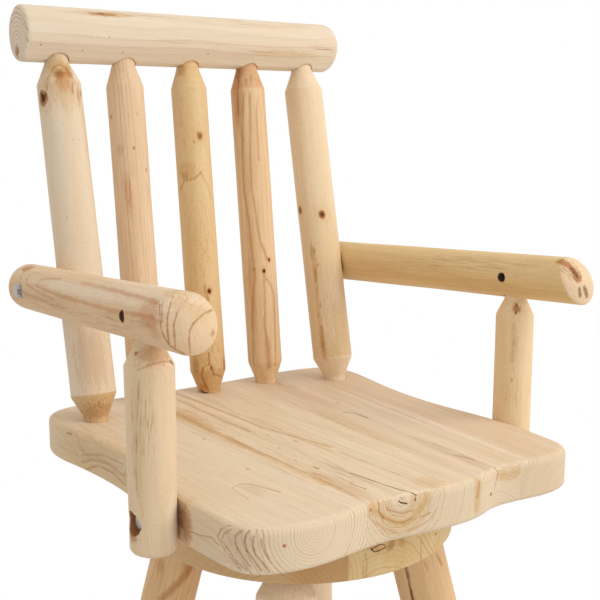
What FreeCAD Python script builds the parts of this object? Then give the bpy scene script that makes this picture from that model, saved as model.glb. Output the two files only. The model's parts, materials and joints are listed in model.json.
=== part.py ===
import FreeCAD, Part
import math
import os

# Log bar stool with back and arms. Millimetres, +Z up, the sitter faces -Y.
# The origin lies on the floor under the axis that the seat turns about.

Vector = FreeCAD.Vector

# Heights above the floor
seat_top = 762.0
seat_thickness = 48.0
swivel_height = 13.0
disc_thickness = 58.5
rail_height = 503.0
arm_height_front_left = 194.0
arm_height_front_right = 189.8
arm_height_rear = 175.0
post_drop = 57.0

# Play left between pieces
glue_gap = 0.15
glue_pocket = 1.0
screw_gap = 0.1
running_gap = 0.05
ball_gap = 0.15
neck_show = 1.0
neck_show_on_leg = 2.0

# Seat outline, half widths and edges from the swivel axis
seat_front = 254.0
seat_back = 276.0
seat_front_width = 242.0
seat_front_wide_at = -128.0
seat_waist_depth = 11.5
seat_waist_at = 12.0
seat_back_flare_left = 4.0
seat_back_flare_right = 8.0
seat_back_wide_at = 165.0
seat_lobe_at = 155.0
seat_lobe_left = 7.0
seat_lobe_right = -2.0
seat_edge_flat_at = 80.0
seat_corner_front = 56.0
seat_corner_back = 54.0
seat_round_top = 8.0
seat_round_bottom = 6.0

# Glue lines of the seat planks: where each meets the front edge and the back edge
seat_seams = ((-95.0, -133.0), (50.0, 60.0), (135.0, 172.0))

# Back: slats from the seat up into one cross rail
rail_left_end = 244.5
rail_right_end = 251.0
rail_at = 288.0
rail_radius = 36.5
rail_dip = 2.5
rail_round_left = 5.0
rail_round_right = 14.0
rail_flat_depth = 2.0
rail_flat_angle = 44.0
outer_slat_x = 196.0
outer_slat_at = 188.5
outer_slat_radius_bottom = 30.0
outer_slat_radius_top = 29.0
inner_slat_x = 99.0
inner_slat_at = 234.0
inner_slat_radius_bottom = 26.1
inner_slat_radius_top = 25.5
slat_tenon_radius = 15.9
slat_tenon_depth = 36.0
slat_shoulder = 29.0

# Arms and the posts that carry them
post_at = -113.0
post_radius = 25.4
post_radius_top_left = 26.4
post_radius_top_right = 24.8
post_tenon_radius = 14.3
post_tenon_over_axis = 8.0
post_shoulder = 21.0
post_foot_round = 7.0
post_facet_depth = 2.7
post_flat_depth = 0.8
post_face_half_width = 30.0
arm_cope_depth = 6.3
arm_rear_end = 277.0
arm_front_end_left = -222.5
arm_front_end_right = -223.0
arm_radius_rear = 30.0
arm_radius_front_left = 29.6
arm_radius_front_right = 28.8
arm_round_rear = 9.0
arm_round_front = 4.0
arm_dome_drop_left = 6.0
arm_dome_drop_right = 12.5
arm_dome_rim = 3.0

# Lag screws with washers: post to seat, and arm to outer slat
lag_radius = 4.0
lag_head_across_flats = 13.0
lag_head_height = 5.5
lag_point = 8.0
lag_washer_radius = 9.5
lag_washer_thickness = 1.6
post_lag_depth = 22.0
post_counterbore_radius = 12.5
post_counterbore_depth = 16.0
post_lag_bite = 62.0
arm_spot_depth = 2.2
arm_lag_bite = 34.0

# Bolts across the arm and the post tenon, sunk at both ends
tenon_bolt_radius = 3.0
tenon_bolt_head_radius = 5.2
tenon_bolt_head_length = 4.0
tenon_bolt_socket_across_flats = 4.0
tenon_bolt_socket_depth = 2.2
tenon_bolt_sink_radius = 5.9
tenon_bolt_sink_depth = 12.5
tenon_nut_length = 4.5

# Ball bearing swivel between the seat and the base
swivel_upper_half_width = 92.0
swivel_lower_half_width = 82.0
swivel_corner_radius = 14.0
swivel_sheet = 2.5
swivel_dish_radius = 44.0
swivel_dish_floor_radius = 38.0
swivel_dish_clearance = 1.2
swivel_rivet_radius = 12.0
swivel_rivet_hole_radius = 7.0
swivel_rivet_flange_radius = 19.0
swivel_rivet_flange = 1.5
swivel_flange_gap = 0.3
swivel_ball_circle = 60.0
swivel_ball_count = 12
swivel_upper_screw_at = 80.0
swivel_lower_screw_at = 71.0
plate_screw_radius = 2.4
plate_screw_head_radius = 4.6
plate_screw_head_height = 2.2
plate_screw_bite = 22.0
plate_screw_point = 4.0

# Base: a round top of glued planks, four splayed legs and four foot rungs
base_turn = 5.5
disc_radius = 194.0
disc_round = 5.0
disc_seam = 64.0
disc_access_radius = 9.0
leg_circle = 144.0
leg_splay = 0.25
leg_offset_x = -2.6
leg_offset_y = 1.8
leg_radius_top = 36.3
leg_radius_bottom = 37.0
leg_tenon_radius = 22.0
leg_tenon_depth = 40.0
leg_shoulder = 26.0
foot_chamfer = 3.0
front_rung_height = 300.0
side_rung_height = 225.0
rung_radius = 22.0
rung_tenon_radius = 12.7
rung_tenon_depth = 28.0
rung_shoulder = 20.0

# Heights and places that follow from the sizes above
seat_bottom = seat_top - seat_thickness
disc_top = seat_bottom - swivel_height
disc_bottom = disc_top - disc_thickness
seat_waist_width = seat_front_width - seat_waist_depth
post_face_x = seat_front_width - post_facet_depth
post_x = post_face_x + post_radius - post_flat_depth
arm_rear_x = outer_slat_x + outer_slat_radius_bottom + arm_radius_rear - arm_cope_depth
up = Vector(0, 0, 1)
origin = Vector(0, 0, 0)


def turned(edges):
    """A solid of revolution about Z from profile edges in the XZ plane."""
    wire = Part.Wire(Part.__sortEdges__(edges))
    return Part.makeSolid(Part.Face(wire).revolve(origin, up, 360))


def profile(points):
    """Profile edges through (radius, height) pairs; a triple adds the middle point of an arc to its point."""
    spots = [Vector(p[0], 0, p[1]) for p in points]
    edges = []
    for i in range(len(points)):
        j = (i + 1) % len(points)
        if len(points[j]) == 3:
            middle = Vector(points[j][2][0], 0, points[j][2][1])
            edges.append(Part.Arc(spots[i], middle, spots[j]).toShape())
        else:
            edges.append(Part.makeLine(spots[i], spots[j]))
    return edges


def rounded(a, b, corner):
    """The middle point of a quarter-round edge from a to b about the corner between them."""
    inward = 1 - math.sqrt(0.5)
    return (
        corner[0] + inward * (a[0] + b[0] - 2 * corner[0]),
        corner[1] + inward * (a[1] + b[1] - 2 * corner[1]),
    )


def along(solid, start, end):
    """The solid, drawn up Z from the origin, laid from start towards end."""
    turn = FreeCAD.Rotation(up, end - start)
    placed = solid.copy()
    placed.Placement = FreeCAD.Placement(start, turn)
    return placed


def rod(start, end, radius):
    """A plain cylinder from start to end."""
    return Part.makeCylinder(radius, (end - start).Length, start, end - start)


def pencil_log(start, end, necks, radii, tenon_radius, shoulder):
    """A log from start to end with both ends sharpened down to round tenons."""
    length = (end - start).Length
    points = [
        (0, 0),
        (tenon_radius, 0),
        (tenon_radius, necks[0]),
        (radii[0], necks[0] + shoulder),
        (radii[1], length - necks[1] - shoulder),
        (tenon_radius, length - necks[1]),
        (tenon_radius, length),
        (0, length),
    ]
    return along(turned(profile(points)), start, end)


def butt_log(start, end, radii, rounds):
    """A log from start to end, cut square with rounded edges."""
    length = (end - start).Length
    low = ((radii[0] - rounds[0], 0), (radii[0], rounds[0]))
    high = ((radii[1], length - rounds[1]), (radii[1] - rounds[1], length))
    points = [
        (0, 0),
        low[0],
        (*low[1], rounded(low[0], low[1], (radii[0], 0))),
        high[0],
        (*high[1], rounded(high[0], high[1], (radii[1], length))),
        (0, length),
    ]
    return along(turned(profile(points)), start, end)


def post_log(start, end, neck, radii, tenon_radius, shoulder, foot_round):
    """A log with a rounded foot at start and one sharpened end with a tenon."""
    length = (end - start).Length
    low = ((radii[0] - foot_round, 0), (radii[0], foot_round))
    points = [
        (0, 0),
        low[0],
        (*low[1], rounded(low[0], low[1], (radii[0], 0))),
        (radii[1], length - neck - shoulder),
        (tenon_radius, length - neck),
        (tenon_radius, length),
        (0, length),
    ]
    return along(turned(profile(points)), start, end)


def hexagon_bar(start, direction, across_flats, height):
    """A hexagonal bar from start along direction."""
    corner = across_flats / math.sqrt(3)
    ring = [
        Vector(corner * math.cos(math.radians(60 * i)), corner * math.sin(math.radians(60 * i)), 0)
        for i in range(6)
    ]
    bar = Part.Face(Part.makePolygon(ring + ring[:1])).extrude(Vector(0, 0, height))
    return along(bar, start, start + direction)


def screw(seat, direction, radius, point, bite):
    """The shank and point of a screw driven from seat along direction."""
    tip = [(0, 0), (radius, 0), (radius, bite - point), (0, bite)]
    return along(turned(profile(tip)), seat, seat + direction)


def washer(seat, direction, radius, hole, thickness):
    """A flat ring on seat, facing back against direction."""
    disc = Part.makeCylinder(radius, thickness, seat, direction * -1)
    return disc.cut(Part.makeCylinder(hole, thickness, seat, direction * -1))


def save(name, *solids):
    """Write the solids as one part file."""
    shape = solids[0] if len(solids) == 1 else Part.makeCompound(list(solids))
    shape.exportStep("parts/" + name + ".step")


os.makedirs("parts", exist_ok=True)
sides = {"left": -1, "right": 1}
seat_back_widths = {
    "left": seat_front_width + seat_back_flare_left,
    "right": seat_front_width + seat_back_flare_right,
}
arm_heights = {"left": arm_height_front_left, "right": arm_height_front_right}
arm_ends = {"left": arm_front_end_left, "right": arm_front_end_right}
arm_radii = {"left": arm_radius_front_left, "right": arm_radius_front_right}
arm_drops = {"left": arm_dome_drop_left, "right": arm_dome_drop_right}
post_radii = {"left": post_radius_top_left, "right": post_radius_top_right}
seat_lobes = {"left": seat_lobe_left, "right": seat_lobe_right}

# Back slats and rail
rail_fall = rail_dip / (rail_left_end + rail_right_end)


def rail_spot(x):
    """A point of the rail's axis, which falls a little towards the left end."""
    return Vector(x, rail_at, seat_top + rail_height - rail_fall * (rail_right_end - x))


def slat(x, at, radii):
    """A slat's log, its two necks, and the bores that its tenons sit in."""
    base = Vector(x, at, seat_top)
    head = rail_spot(x)
    lean = (head - base).normalize()
    start = base - lean * slat_tenon_depth
    clear = neck_show + slat_tenon_radius * math.hypot(lean.x, lean.y) / lean.z
    necks = (slat_tenon_depth + clear, rail_radius + neck_show)
    log = pencil_log(start, head, necks, radii, slat_tenon_radius, slat_shoulder)
    low_bore = rod(start, base + lean * slat_tenon_radius, slat_tenon_radius + glue_gap)
    high_bore = rod(head - lean * rail_radius * 2, head + lean * glue_pocket, slat_tenon_radius + glue_gap)
    return log, low_bore, high_bore, base, lean


outer_radii = (outer_slat_radius_bottom, outer_slat_radius_top)
inner_radii = (inner_slat_radius_bottom, inner_slat_radius_top)
slats = {
    "back_slat_outer_left": slat(-outer_slat_x, outer_slat_at, outer_radii),
    "back_slat_inner_left": slat(-inner_slat_x, inner_slat_at, inner_radii),
    "back_slat_centre": slat(0, inner_slat_at, inner_radii),
    "back_slat_inner_right": slat(inner_slat_x, inner_slat_at, inner_radii),
    "back_slat_outer_right": slat(outer_slat_x, outer_slat_at, outer_radii),
}
rail = butt_log(
    rail_spot(-rail_left_end),
    rail_spot(rail_right_end),
    (rail_radius, rail_radius),
    (rail_round_left, rail_round_right),
)
for log, low_bore, high_bore, base, lean in slats.values():
    rail = rail.cut(high_bore)
flat_tilt = math.radians(rail_flat_angle)
flat_facing = Vector(0, -math.cos(flat_tilt), -math.sin(flat_tilt))
flat_at = rail_spot(0) + flat_facing * (rail_radius - rail_flat_depth)
rail = rail.cut(rod(flat_at, flat_at + flat_facing * rail_radius, rail_left_end + rail_right_end))
save("back_rail", rail)

# Seat: one outline, rounded over, bored for the slats, then parted along the glue lines
front_corner = seat_front_width - seat_corner_front
slant = 1 - math.sqrt(0.5)


def half_outline(name):
    """Outline points of one side of the seat from the front edge round to the back edge."""
    lobe = seat_lobes[name]
    seat_back_width = seat_back_widths[name]
    front_end = -seat_front + seat_corner_front
    back_end = seat_back - seat_corner_back
    front_mid = seat_corner_front * slant
    back_mid = seat_corner_back * slant
    half = [
        (seat_edge_flat_at, -seat_front),
        (seat_lobe_at, -seat_front - lobe),
        (front_corner, -seat_front - lobe / 2),
        (seat_front_width - front_mid, -seat_front + front_mid),
        (seat_front_width - slant * front_mid, front_end),
        (seat_front_width, seat_front_wide_at),
        (seat_waist_width, seat_waist_at),
        (seat_back_width - slant * back_mid, seat_back_wide_at),
        (seat_back_width, back_end),
        (seat_back_width - back_mid, seat_back - back_mid),
        (seat_back_width - seat_corner_back, seat_back),
        (seat_edge_flat_at, seat_back),
    ]
    return [Vector(sides[name] * x, y, seat_bottom) for x, y in half]


right_half = half_outline("right")
left_half = half_outline("left")
outline = Part.BSplineCurve()
outline.interpolate(Points=right_half + left_half[::-1], PeriodicFlag=True)
seat = Part.Face(Part.Wire(outline.toShape())).extrude(Vector(0, 0, seat_thickness))
top_edges = [e for e in seat.Edges if e.BoundBox.ZMin > seat_top - 1]
seat = seat.makeFillet(seat_round_top, top_edges)
bottom_edges = [e for e in seat.Edges if e.BoundBox.ZMax < seat_bottom + 1]
seat = seat.makeFillet(seat_round_bottom, bottom_edges)
for log, low_bore, high_bore, base, lean in slats.values():
    seat = seat.cut(low_bore)

# Posts, arms and their fastenings
post_foot = seat_top - post_drop
lag_height = seat_top - post_lag_depth
post_screws = []
post_washers = []
arm_screws = []
arm_washers = []
tenon_bolts = []
tenon_nuts = []
for name, side in sides.items():
    inward = Vector(-side, 0, 0)
    arm_over_post = seat_top + arm_heights[name]
    arm_front_end = arm_ends[name]
    arm_radius_front = arm_radii[name]
    arm_taper = (arm_radius_front - arm_radius_rear) / (arm_rear_end - arm_front_end)
    arm_radius_at_post = arm_radius_rear + arm_taper * (arm_rear_end - post_at)
    post_neck_height = arm_over_post - arm_radius_at_post - neck_show

    # The post, planed flat where it lies against the seat edge
    foot = Vector(side * post_x, post_at, post_foot)
    top = Vector(side * post_x, post_at, arm_over_post + post_tenon_over_axis)
    post = post_log(
        foot,
        top,
        top.z - post_neck_height,
        (post_radius, post_radii[name]),
        post_tenon_radius,
        post_shoulder,
        post_foot_round,
    )
    planed = Part.makeBox(post_radius * 2, post_radius * 2, seat_top - post_foot)
    planed.translate(
        Vector(side * (post_face_x - post_radius) - post_radius, post_at - post_radius, post_foot)
    )
    post = post.cut(planed)
    facet = Part.makeBox(post_radius, post_face_half_width * 2, seat_thickness)
    facet_low_x = post_face_x if side > 0 else -post_face_x - post_radius
    facet.translate(Vector(facet_low_x, post_at - post_face_half_width, seat_bottom))
    seat = seat.cut(facet)

    # The arm, its front end domed, coped over the outer slat and bored for the post
    log, low_bore, high_bore, base, lean = slats["back_slat_outer_" + name]
    slat_axis = base + lean * (arm_height_rear / lean.z)
    over_post = Vector(side * post_x, post_at, arm_over_post)
    at_slat = Vector(side * arm_rear_x, slat_axis.y, slat_axis.z)
    run = (over_post - at_slat) * (1 / (over_post.y - at_slat.y))
    rear = at_slat + run * (arm_rear_end - at_slat.y)
    front = at_slat + run * (arm_front_end - at_slat.y)
    arm = butt_log(rear, front, (arm_radius_rear, arm_radius_front), (arm_round_rear, arm_round_front))
    dome_radius = arm_radius_front + arm_drops[name] + arm_dome_rim
    forward = (front - rear).normalize()
    dome_centre = front - forward * dome_radius - up * arm_drops[name]
    waste = rod(dome_centre, dome_centre + forward * dome_radius * 2, dome_radius * 2)
    arm = arm.cut(waste.cut(Part.makeSphere(dome_radius, dome_centre)))
    cope = rod(base, base + lean * rail_height, outer_slat_radius_bottom + glue_gap)
    arm = arm.cut(cope)
    tenon_end = top + up * glue_pocket
    arm = arm.cut(rod(foot, tenon_end, post_tenon_radius + glue_gap))

    # Lag screw from a counterbore in the post into the seat edge
    counterbore_floor = Vector(side * (post_x + post_radius - post_counterbore_depth), post_at, lag_height)
    outside = counterbore_floor - inward * post_counterbore_depth * 2
    lag_end = counterbore_floor + inward * (post_lag_bite + glue_pocket)
    lag_hole = rod(outside, lag_end, lag_radius + screw_gap)
    post = post.cut(rod(outside, counterbore_floor, post_counterbore_radius))
    post = post.cut(lag_hole)
    seat = seat.cut(lag_hole)
    head_seat = counterbore_floor - inward * lag_washer_thickness
    post_washers.append(
        washer(counterbore_floor, inward, lag_washer_radius, lag_radius + screw_gap, lag_washer_thickness)
    )
    shank = screw(head_seat, inward, lag_radius, lag_point, post_lag_bite + lag_washer_thickness)
    head = hexagon_bar(head_seat, inward * -1, lag_head_across_flats, lag_head_height)
    post_screws.append(shank.fuse(head))

    # Lag screw through the arm into the outer slat, its washer on a small spot face
    spot = Vector(side * (arm_rear_x + arm_radius_rear - arm_spot_depth), slat_axis.y, slat_axis.z)
    slat_bite = Vector(side * (outer_slat_x + outer_slat_radius_bottom - arm_lag_bite), spot.y, spot.z)
    arm_hole = rod(spot, slat_bite + inward * glue_pocket, lag_radius + screw_gap)
    arm = arm.cut(rod(spot - inward * arm_radius_rear, spot, lag_washer_radius + glue_pocket))
    arm = arm.cut(arm_hole)
    log = log.cut(arm_hole)
    head_seat = spot - inward * lag_washer_thickness
    arm_washers.append(washer(spot, inward, lag_washer_radius, lag_radius + screw_gap, lag_washer_thickness))
    shank = screw(head_seat, inward, lag_radius, lag_point, (slat_bite - head_seat).Length)
    head = hexagon_bar(head_seat, inward * -1, lag_head_across_flats, lag_head_height)
    arm_screws.append(shank.fuse(head))

    # Bolt across the arm and the post tenon
    arm_half = arm_radius_at_post - tenon_bolt_sink_depth
    head_floor = over_post - inward * arm_half
    nut_floor = over_post + inward * arm_half
    sink = arm_radius_at_post * 2
    cross_hole = rod(head_floor, nut_floor, tenon_bolt_radius + screw_gap)
    arm = arm.cut(rod(head_floor - inward * sink, head_floor, tenon_bolt_sink_radius))
    arm = arm.cut(rod(nut_floor, nut_floor + inward * sink, tenon_bolt_sink_radius))
    arm = arm.cut(cross_hole)
    post = post.cut(cross_hole)
    nut_end = nut_floor + inward * tenon_nut_length
    shank = rod(head_floor, nut_end, tenon_bolt_radius)
    head = rod(head_floor - inward * tenon_bolt_head_length, head_floor, tenon_bolt_head_radius)
    socket = hexagon_bar(
        head_floor - inward * tenon_bolt_head_length,
        inward,
        tenon_bolt_socket_across_flats,
        tenon_bolt_socket_depth,
    )
    tenon_bolts.append(shank.fuse(head).cut(socket))
    nut = rod(nut_floor, nut_end, tenon_bolt_head_radius)
    tenon_nuts.append(nut.cut(rod(nut_floor, nut_end, tenon_bolt_radius + screw_gap)))

    save("arm_post_" + name, post)
    save("arm_" + name, arm)
    slats["back_slat_outer_" + name] = (log, low_bore, high_bore, base, lean)

for name, parts in slats.items():
    save(name, parts[0])
save("post_lag_screws", *post_screws)
save("post_lag_washers", *post_washers)
save("arm_lag_screws", *arm_screws)
save("arm_lag_washers", *arm_washers)
save("tenon_cross_bolts", *tenon_bolts)
save("tenon_cross_nuts", *tenon_nuts)

# Swivel: two dished plates held by a hollow rivet, turning on a ring of balls
turn = FreeCAD.Placement(origin, FreeCAD.Rotation(up, base_turn))


def plate(half_width, outer_face, dish_face, hole):
    """A square sheet whose round middle is pressed from outer_face to dish_face, with a hole for the rivet."""
    away = 1 if dish_face > outer_face else -1
    low = min(outer_face, outer_face + away * swivel_sheet)
    square = Part.makeBox(half_width * 2, half_width * 2, swivel_sheet, Vector(-half_width, -half_width, low))
    corners = [e for e in square.Edges if e.BoundBox.ZLength > swivel_sheet / 2]
    square = square.makeFillet(swivel_corner_radius, corners)
    square = square.cut(Part.makeCylinder(swivel_dish_radius, swivel_sheet, Vector(0, 0, low)))
    inner_face = outer_face + away * swivel_sheet
    dish = [
        (hole, dish_face),
        (swivel_dish_floor_radius, dish_face),
        (swivel_dish_radius, inner_face),
        (swivel_dish_radius, outer_face),
        (swivel_dish_floor_radius, dish_face - away * swivel_sheet),
        (hole, dish_face - away * swivel_sheet),
    ]
    return square.fuse(turned(profile(dish))).removeSplitter()


middle = (seat_bottom + disc_top) / 2
upper_dish = middle + swivel_dish_clearance / 2
lower_dish = middle - swivel_dish_clearance / 2
upper = plate(swivel_upper_half_width, seat_bottom, upper_dish, swivel_rivet_radius + running_gap)
lower = plate(swivel_lower_half_width, disc_top, lower_dish, swivel_rivet_radius)
race_gap = swivel_height - 2 * swivel_sheet
ball_radius = (race_gap + swivel_sheet) / 2 - ball_gap
race = Part.makeTorus(swivel_ball_circle, ball_radius + ball_gap, Vector(0, 0, middle))
upper = upper.cut(race)
lower = lower.cut(race)
balls = []
for i in range(swivel_ball_count):
    angle = 2 * math.pi * i / swivel_ball_count
    spot = Vector(swivel_ball_circle * math.cos(angle), swivel_ball_circle * math.sin(angle), middle)
    balls.append(Part.makeSphere(ball_radius, spot))
upper_flange = upper_dish + swivel_sheet + swivel_flange_gap
lower_flange = lower_dish - swivel_sheet
rivet = turned(
    profile(
        [
            (swivel_rivet_hole_radius, lower_flange - swivel_rivet_flange),
            (swivel_rivet_flange_radius, lower_flange - swivel_rivet_flange),
            (swivel_rivet_flange_radius, lower_flange),
            (swivel_rivet_radius, lower_flange),
            (swivel_rivet_radius, upper_flange),
            (swivel_rivet_flange_radius, upper_flange),
            (swivel_rivet_flange_radius, upper_flange + swivel_rivet_flange),
            (swivel_rivet_hole_radius, upper_flange + swivel_rivet_flange),
        ]
    )
)


def plate_screws(at, face, direction):
    """Four pan-head screws at the corners of a plate, and the holes that they sit in."""
    screws = []
    holes = []
    for x in (-at, at):
        for y in (-at, at):
            spot = Vector(x, y, face)
            shank = screw(spot, direction, plate_screw_radius, plate_screw_point, plate_screw_bite)
            pan = rod(spot, spot - direction * plate_screw_head_height, plate_screw_head_radius)
            screws.append(shank.fuse(pan))
            end = spot + direction * (plate_screw_bite + glue_pocket)
            holes.append(rod(spot, end, plate_screw_radius + screw_gap))
    return screws, holes


upper_screws, upper_holes = plate_screws(swivel_upper_screw_at, seat_bottom - swivel_sheet, up)
lower_screws, lower_holes = plate_screws(swivel_lower_screw_at, disc_top + swivel_sheet, up * -1)
for hole in upper_holes:
    upper = upper.cut(hole)
    seat = seat.cut(hole)
for hole in lower_holes:
    lower = lower.cut(hole)
save("swivel_upper_plate", upper)
save("swivel_upper_screws", *upper_screws)

# Seat planks
reach = seat_front + seat_back
knife_depth = seat_thickness * 3
plank_names = ("seat_plank_left", "seat_plank_middle_left", "seat_plank_middle_right", "seat_plank_right")
edges_front = [-reach] + [s[0] for s in seat_seams] + [reach]
edges_back = [-reach] + [s[1] for s in seat_seams] + [reach]
for i in range(len(plank_names)):
    corners = [
        (edges_front[i], -seat_front),
        (edges_front[i + 1], -seat_front),
        (edges_back[i + 1], seat_back),
        (edges_back[i], seat_back),
    ]
    spread = []
    for near, far in ((0, 3), (1, 2)):
        slope = (corners[far][0] - corners[near][0]) / reach
        spread.append((corners[near][0] - slope * reach, -seat_front - reach))
        spread.append((corners[far][0] + slope * reach, seat_back + reach))
    loop = [spread[0], spread[2], spread[3], spread[1]]
    ring = [Vector(x, y, seat_bottom - seat_thickness) for x, y in loop]
    strip = Part.Face(Part.makePolygon(ring + ring[:1])).extrude(Vector(0, 0, knife_depth))
    save(plank_names[i], seat.common(strip).Solids[0])

# Base top, legs and rungs, drawn square and then turned a little under the seat
disc = Part.makeCylinder(disc_radius, disc_thickness, Vector(0, 0, disc_bottom))
rims = [e for e in disc.Edges if isinstance(e.Curve, Part.Circle)]
disc = disc.makeFillet(disc_round, rims)
for hole in lower_holes:
    disc = disc.cut(hole)
access_at = swivel_upper_screw_at * math.sqrt(2)
disc = disc.cut(Part.makeCylinder(disc_access_radius, disc_thickness, Vector(access_at, 0, disc_bottom)))

leg_signs = {
    "front_left": (-1, -1),
    "front_right": (1, -1),
    "back_left": (-1, 1),
    "back_right": (1, 1),
}
diagonal = math.sqrt(0.5)


def leg_point(signs, height):
    """The point of a leg's axis at a height above the floor."""
    out = (leg_circle + leg_splay * (disc_bottom - height)) * diagonal
    return Vector(signs[0] * out + leg_offset_x, signs[1] * out + leg_offset_y, height)


def leg_radius_at(height):
    """The leg's radius at a height above the floor."""
    return leg_radius_bottom + (leg_radius_top - leg_radius_bottom) * height / disc_bottom


legs = {}
slope_length = math.hypot(1, leg_splay)
for name, signs in leg_signs.items():
    knee = leg_point(signs, disc_bottom)
    rise = (knee - leg_point(signs, 0)).normalize()
    top = knee + rise * leg_tenon_depth
    below_floor = leg_point(signs, -leg_radius_bottom)
    clear = neck_show + leg_tenon_radius * leg_splay
    leg = post_log(
        below_floor,
        top,
        leg_tenon_depth + clear,
        (leg_radius_bottom, leg_radius_top),
        leg_tenon_radius,
        leg_shoulder,
        foot_chamfer,
    )
    ground = Part.makeBox(seat_top, seat_top, leg_radius_bottom * 3)
    ground.translate(Vector(below_floor.x - seat_top / 2, below_floor.y - seat_top / 2, -leg_radius_bottom * 3))
    leg = leg.cut(ground)
    sole = [e for e in leg.Edges if e.BoundBox.ZMax < foot_chamfer]
    legs[name] = leg.makeChamfer(foot_chamfer, sole)
    disc = disc.cut(rod(knee - rise * leg_tenon_depth, top, leg_tenon_radius + glue_gap))

rungs = {
    "foot_rung_front": ("front_left", "front_right", front_rung_height),
    "foot_rung_back": ("back_left", "back_right", front_rung_height),
    "foot_rung_left": ("front_left", "back_left", side_rung_height),
    "foot_rung_right": ("front_right", "back_right", side_rung_height),
}
for name, (one, other, height) in rungs.items():
    a = leg_point(leg_signs[one], height)
    b = leg_point(leg_signs[other], height)
    across = (b - a).normalize()
    skin = leg_radius_at(height) * slope_length
    start = a + across * (skin - rung_tenon_depth)
    end = b - across * (skin - rung_tenon_depth)
    neck = rung_tenon_depth + neck_show_on_leg
    rung = pencil_log(start, end, (neck, neck), (rung_radius, rung_radius), rung_tenon_radius, rung_shoulder)
    bore = rod(start - across * glue_pocket, end + across * glue_pocket, rung_tenon_radius + glue_gap)
    legs[one] = legs[one].cut(bore)
    legs[other] = legs[other].cut(bore)
    rung.Placement = turn.multiply(rung.Placement)
    save(name, rung)

for name, leg in legs.items():
    leg.Placement = turn.multiply(leg.Placement)
    save("leg_" + name, leg)

disc_names = ("base_plank_left", "base_plank_middle", "base_plank_right")
disc_edges = (-reach, -disc_seam, disc_seam, reach)
for i in range(len(disc_names)):
    strip = Part.makeBox(disc_edges[i + 1] - disc_edges[i], reach * 2, disc_thickness)
    strip.translate(Vector(disc_edges[i], -reach, disc_bottom))
    plank = disc.common(strip).Solids[0]
    plank.Placement = turn.multiply(plank.Placement)
    save(disc_names[i], plank)

for solid in (lower, rivet, *balls, *lower_screws):
    solid.Placement = turn.multiply(solid.Placement)
save("swivel_lower_plate", lower)
save("swivel_rivet", rivet)
save("swivel_balls", *balls)
save("swivel_lower_screws", *lower_screws)
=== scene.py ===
import bpy
import json
import math
import numpy as np
from dataclasses import dataclass
from mathutils import Matrix, Vector

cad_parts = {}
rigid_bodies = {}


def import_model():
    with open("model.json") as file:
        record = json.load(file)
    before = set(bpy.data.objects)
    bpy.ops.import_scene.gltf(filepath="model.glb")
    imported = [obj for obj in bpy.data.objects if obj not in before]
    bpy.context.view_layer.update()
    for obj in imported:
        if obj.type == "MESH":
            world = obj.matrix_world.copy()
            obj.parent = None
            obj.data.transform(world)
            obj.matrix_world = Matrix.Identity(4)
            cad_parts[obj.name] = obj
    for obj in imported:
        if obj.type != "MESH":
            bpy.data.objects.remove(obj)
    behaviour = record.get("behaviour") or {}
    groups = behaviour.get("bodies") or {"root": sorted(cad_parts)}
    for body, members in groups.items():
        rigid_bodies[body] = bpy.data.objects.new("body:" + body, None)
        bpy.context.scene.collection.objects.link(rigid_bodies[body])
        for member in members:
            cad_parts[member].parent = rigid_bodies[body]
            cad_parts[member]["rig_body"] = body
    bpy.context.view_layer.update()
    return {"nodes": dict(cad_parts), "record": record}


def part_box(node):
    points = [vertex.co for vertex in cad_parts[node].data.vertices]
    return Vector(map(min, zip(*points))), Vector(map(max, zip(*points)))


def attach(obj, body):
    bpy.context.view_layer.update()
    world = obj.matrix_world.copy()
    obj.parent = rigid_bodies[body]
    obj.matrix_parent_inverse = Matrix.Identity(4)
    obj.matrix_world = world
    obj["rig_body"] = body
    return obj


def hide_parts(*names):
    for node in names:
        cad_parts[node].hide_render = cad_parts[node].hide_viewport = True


bl_info = {
    "name": "Log bar stool",
    "version": (1, 0, 0),
    "blender": (4, 5, 0),
    "location": "View3D > Sidebar > Stool",
    "description": "Dresses the packed log bar stool in peeled, knotty wood and zinc plated steel",
    "category": "Object",
}

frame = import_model()

MM = 0.001
NEVER = 1000.0

# Sizes across and along the grain, in millimetres, of the patterns in the wood
DRIFT = (NEVER, 260)
SWAY = (42, 420)
RIPPLE = (9, 150)
BREAKS = (5, 70)
ZONES = (26, 260)
FLAMES = (14, 320)
FRAYED = (2.0, 9)
TORN = (8, 30)
FIBRES = (1.8, 45)
STRIPES = (7, 320)
GRIT = (1.5, 3)
FLECKS = (1.7, 10)
RESIN = (13, 22)
DASH_WIDTH = 1.5

# Shares of the ground colour that are left in its darker parts
WARM_TONE = (0.92, 0.80, 0.62)
RED_TONE = (0.84, 0.62, 0.42)
LINE_TONE = (0.58, 0.36, 0.20)

SEED_SHIFT = (7.31, 3.17, 5.73)
YEAR_LINE = 0.9  # where in a year its line is darkest
KNOT_OVAL = 0.75  # width of a knot over its length
HOLE_FLOOR = (-8.0, -6.0)  # millimetres behind its place at which a hole's floor starts
WOOD_ROUGH = 0.58
WOOD_SHINE = 0.15
BUMP_SHARE = 0.35
BUMP_DEPTH = 0.0006
BASE_SLOPE = 0.096  # the base top is turned a little against the seat

SPANGLES = 420.0  # in a metre of zinc
RUBS = 160.0  # in a metre of zinc

MERGE_GAP = 1e-6
FILM_WIDTH = 36
FLOOR_CORNERS = 96
SHADOW_FADE = 0.55  # share of the shadow's radius at which it starts to fade


def srgb(red, green, blue):
    """A colour in steps of 0 to 255 as linear values."""
    shares = [step / 255 for step in (red, green, blue)]
    return tuple(s / 12.92 if s <= 0.04045 else ((s + 0.055) / 1.055) ** 2.4 for s in shares)


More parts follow.
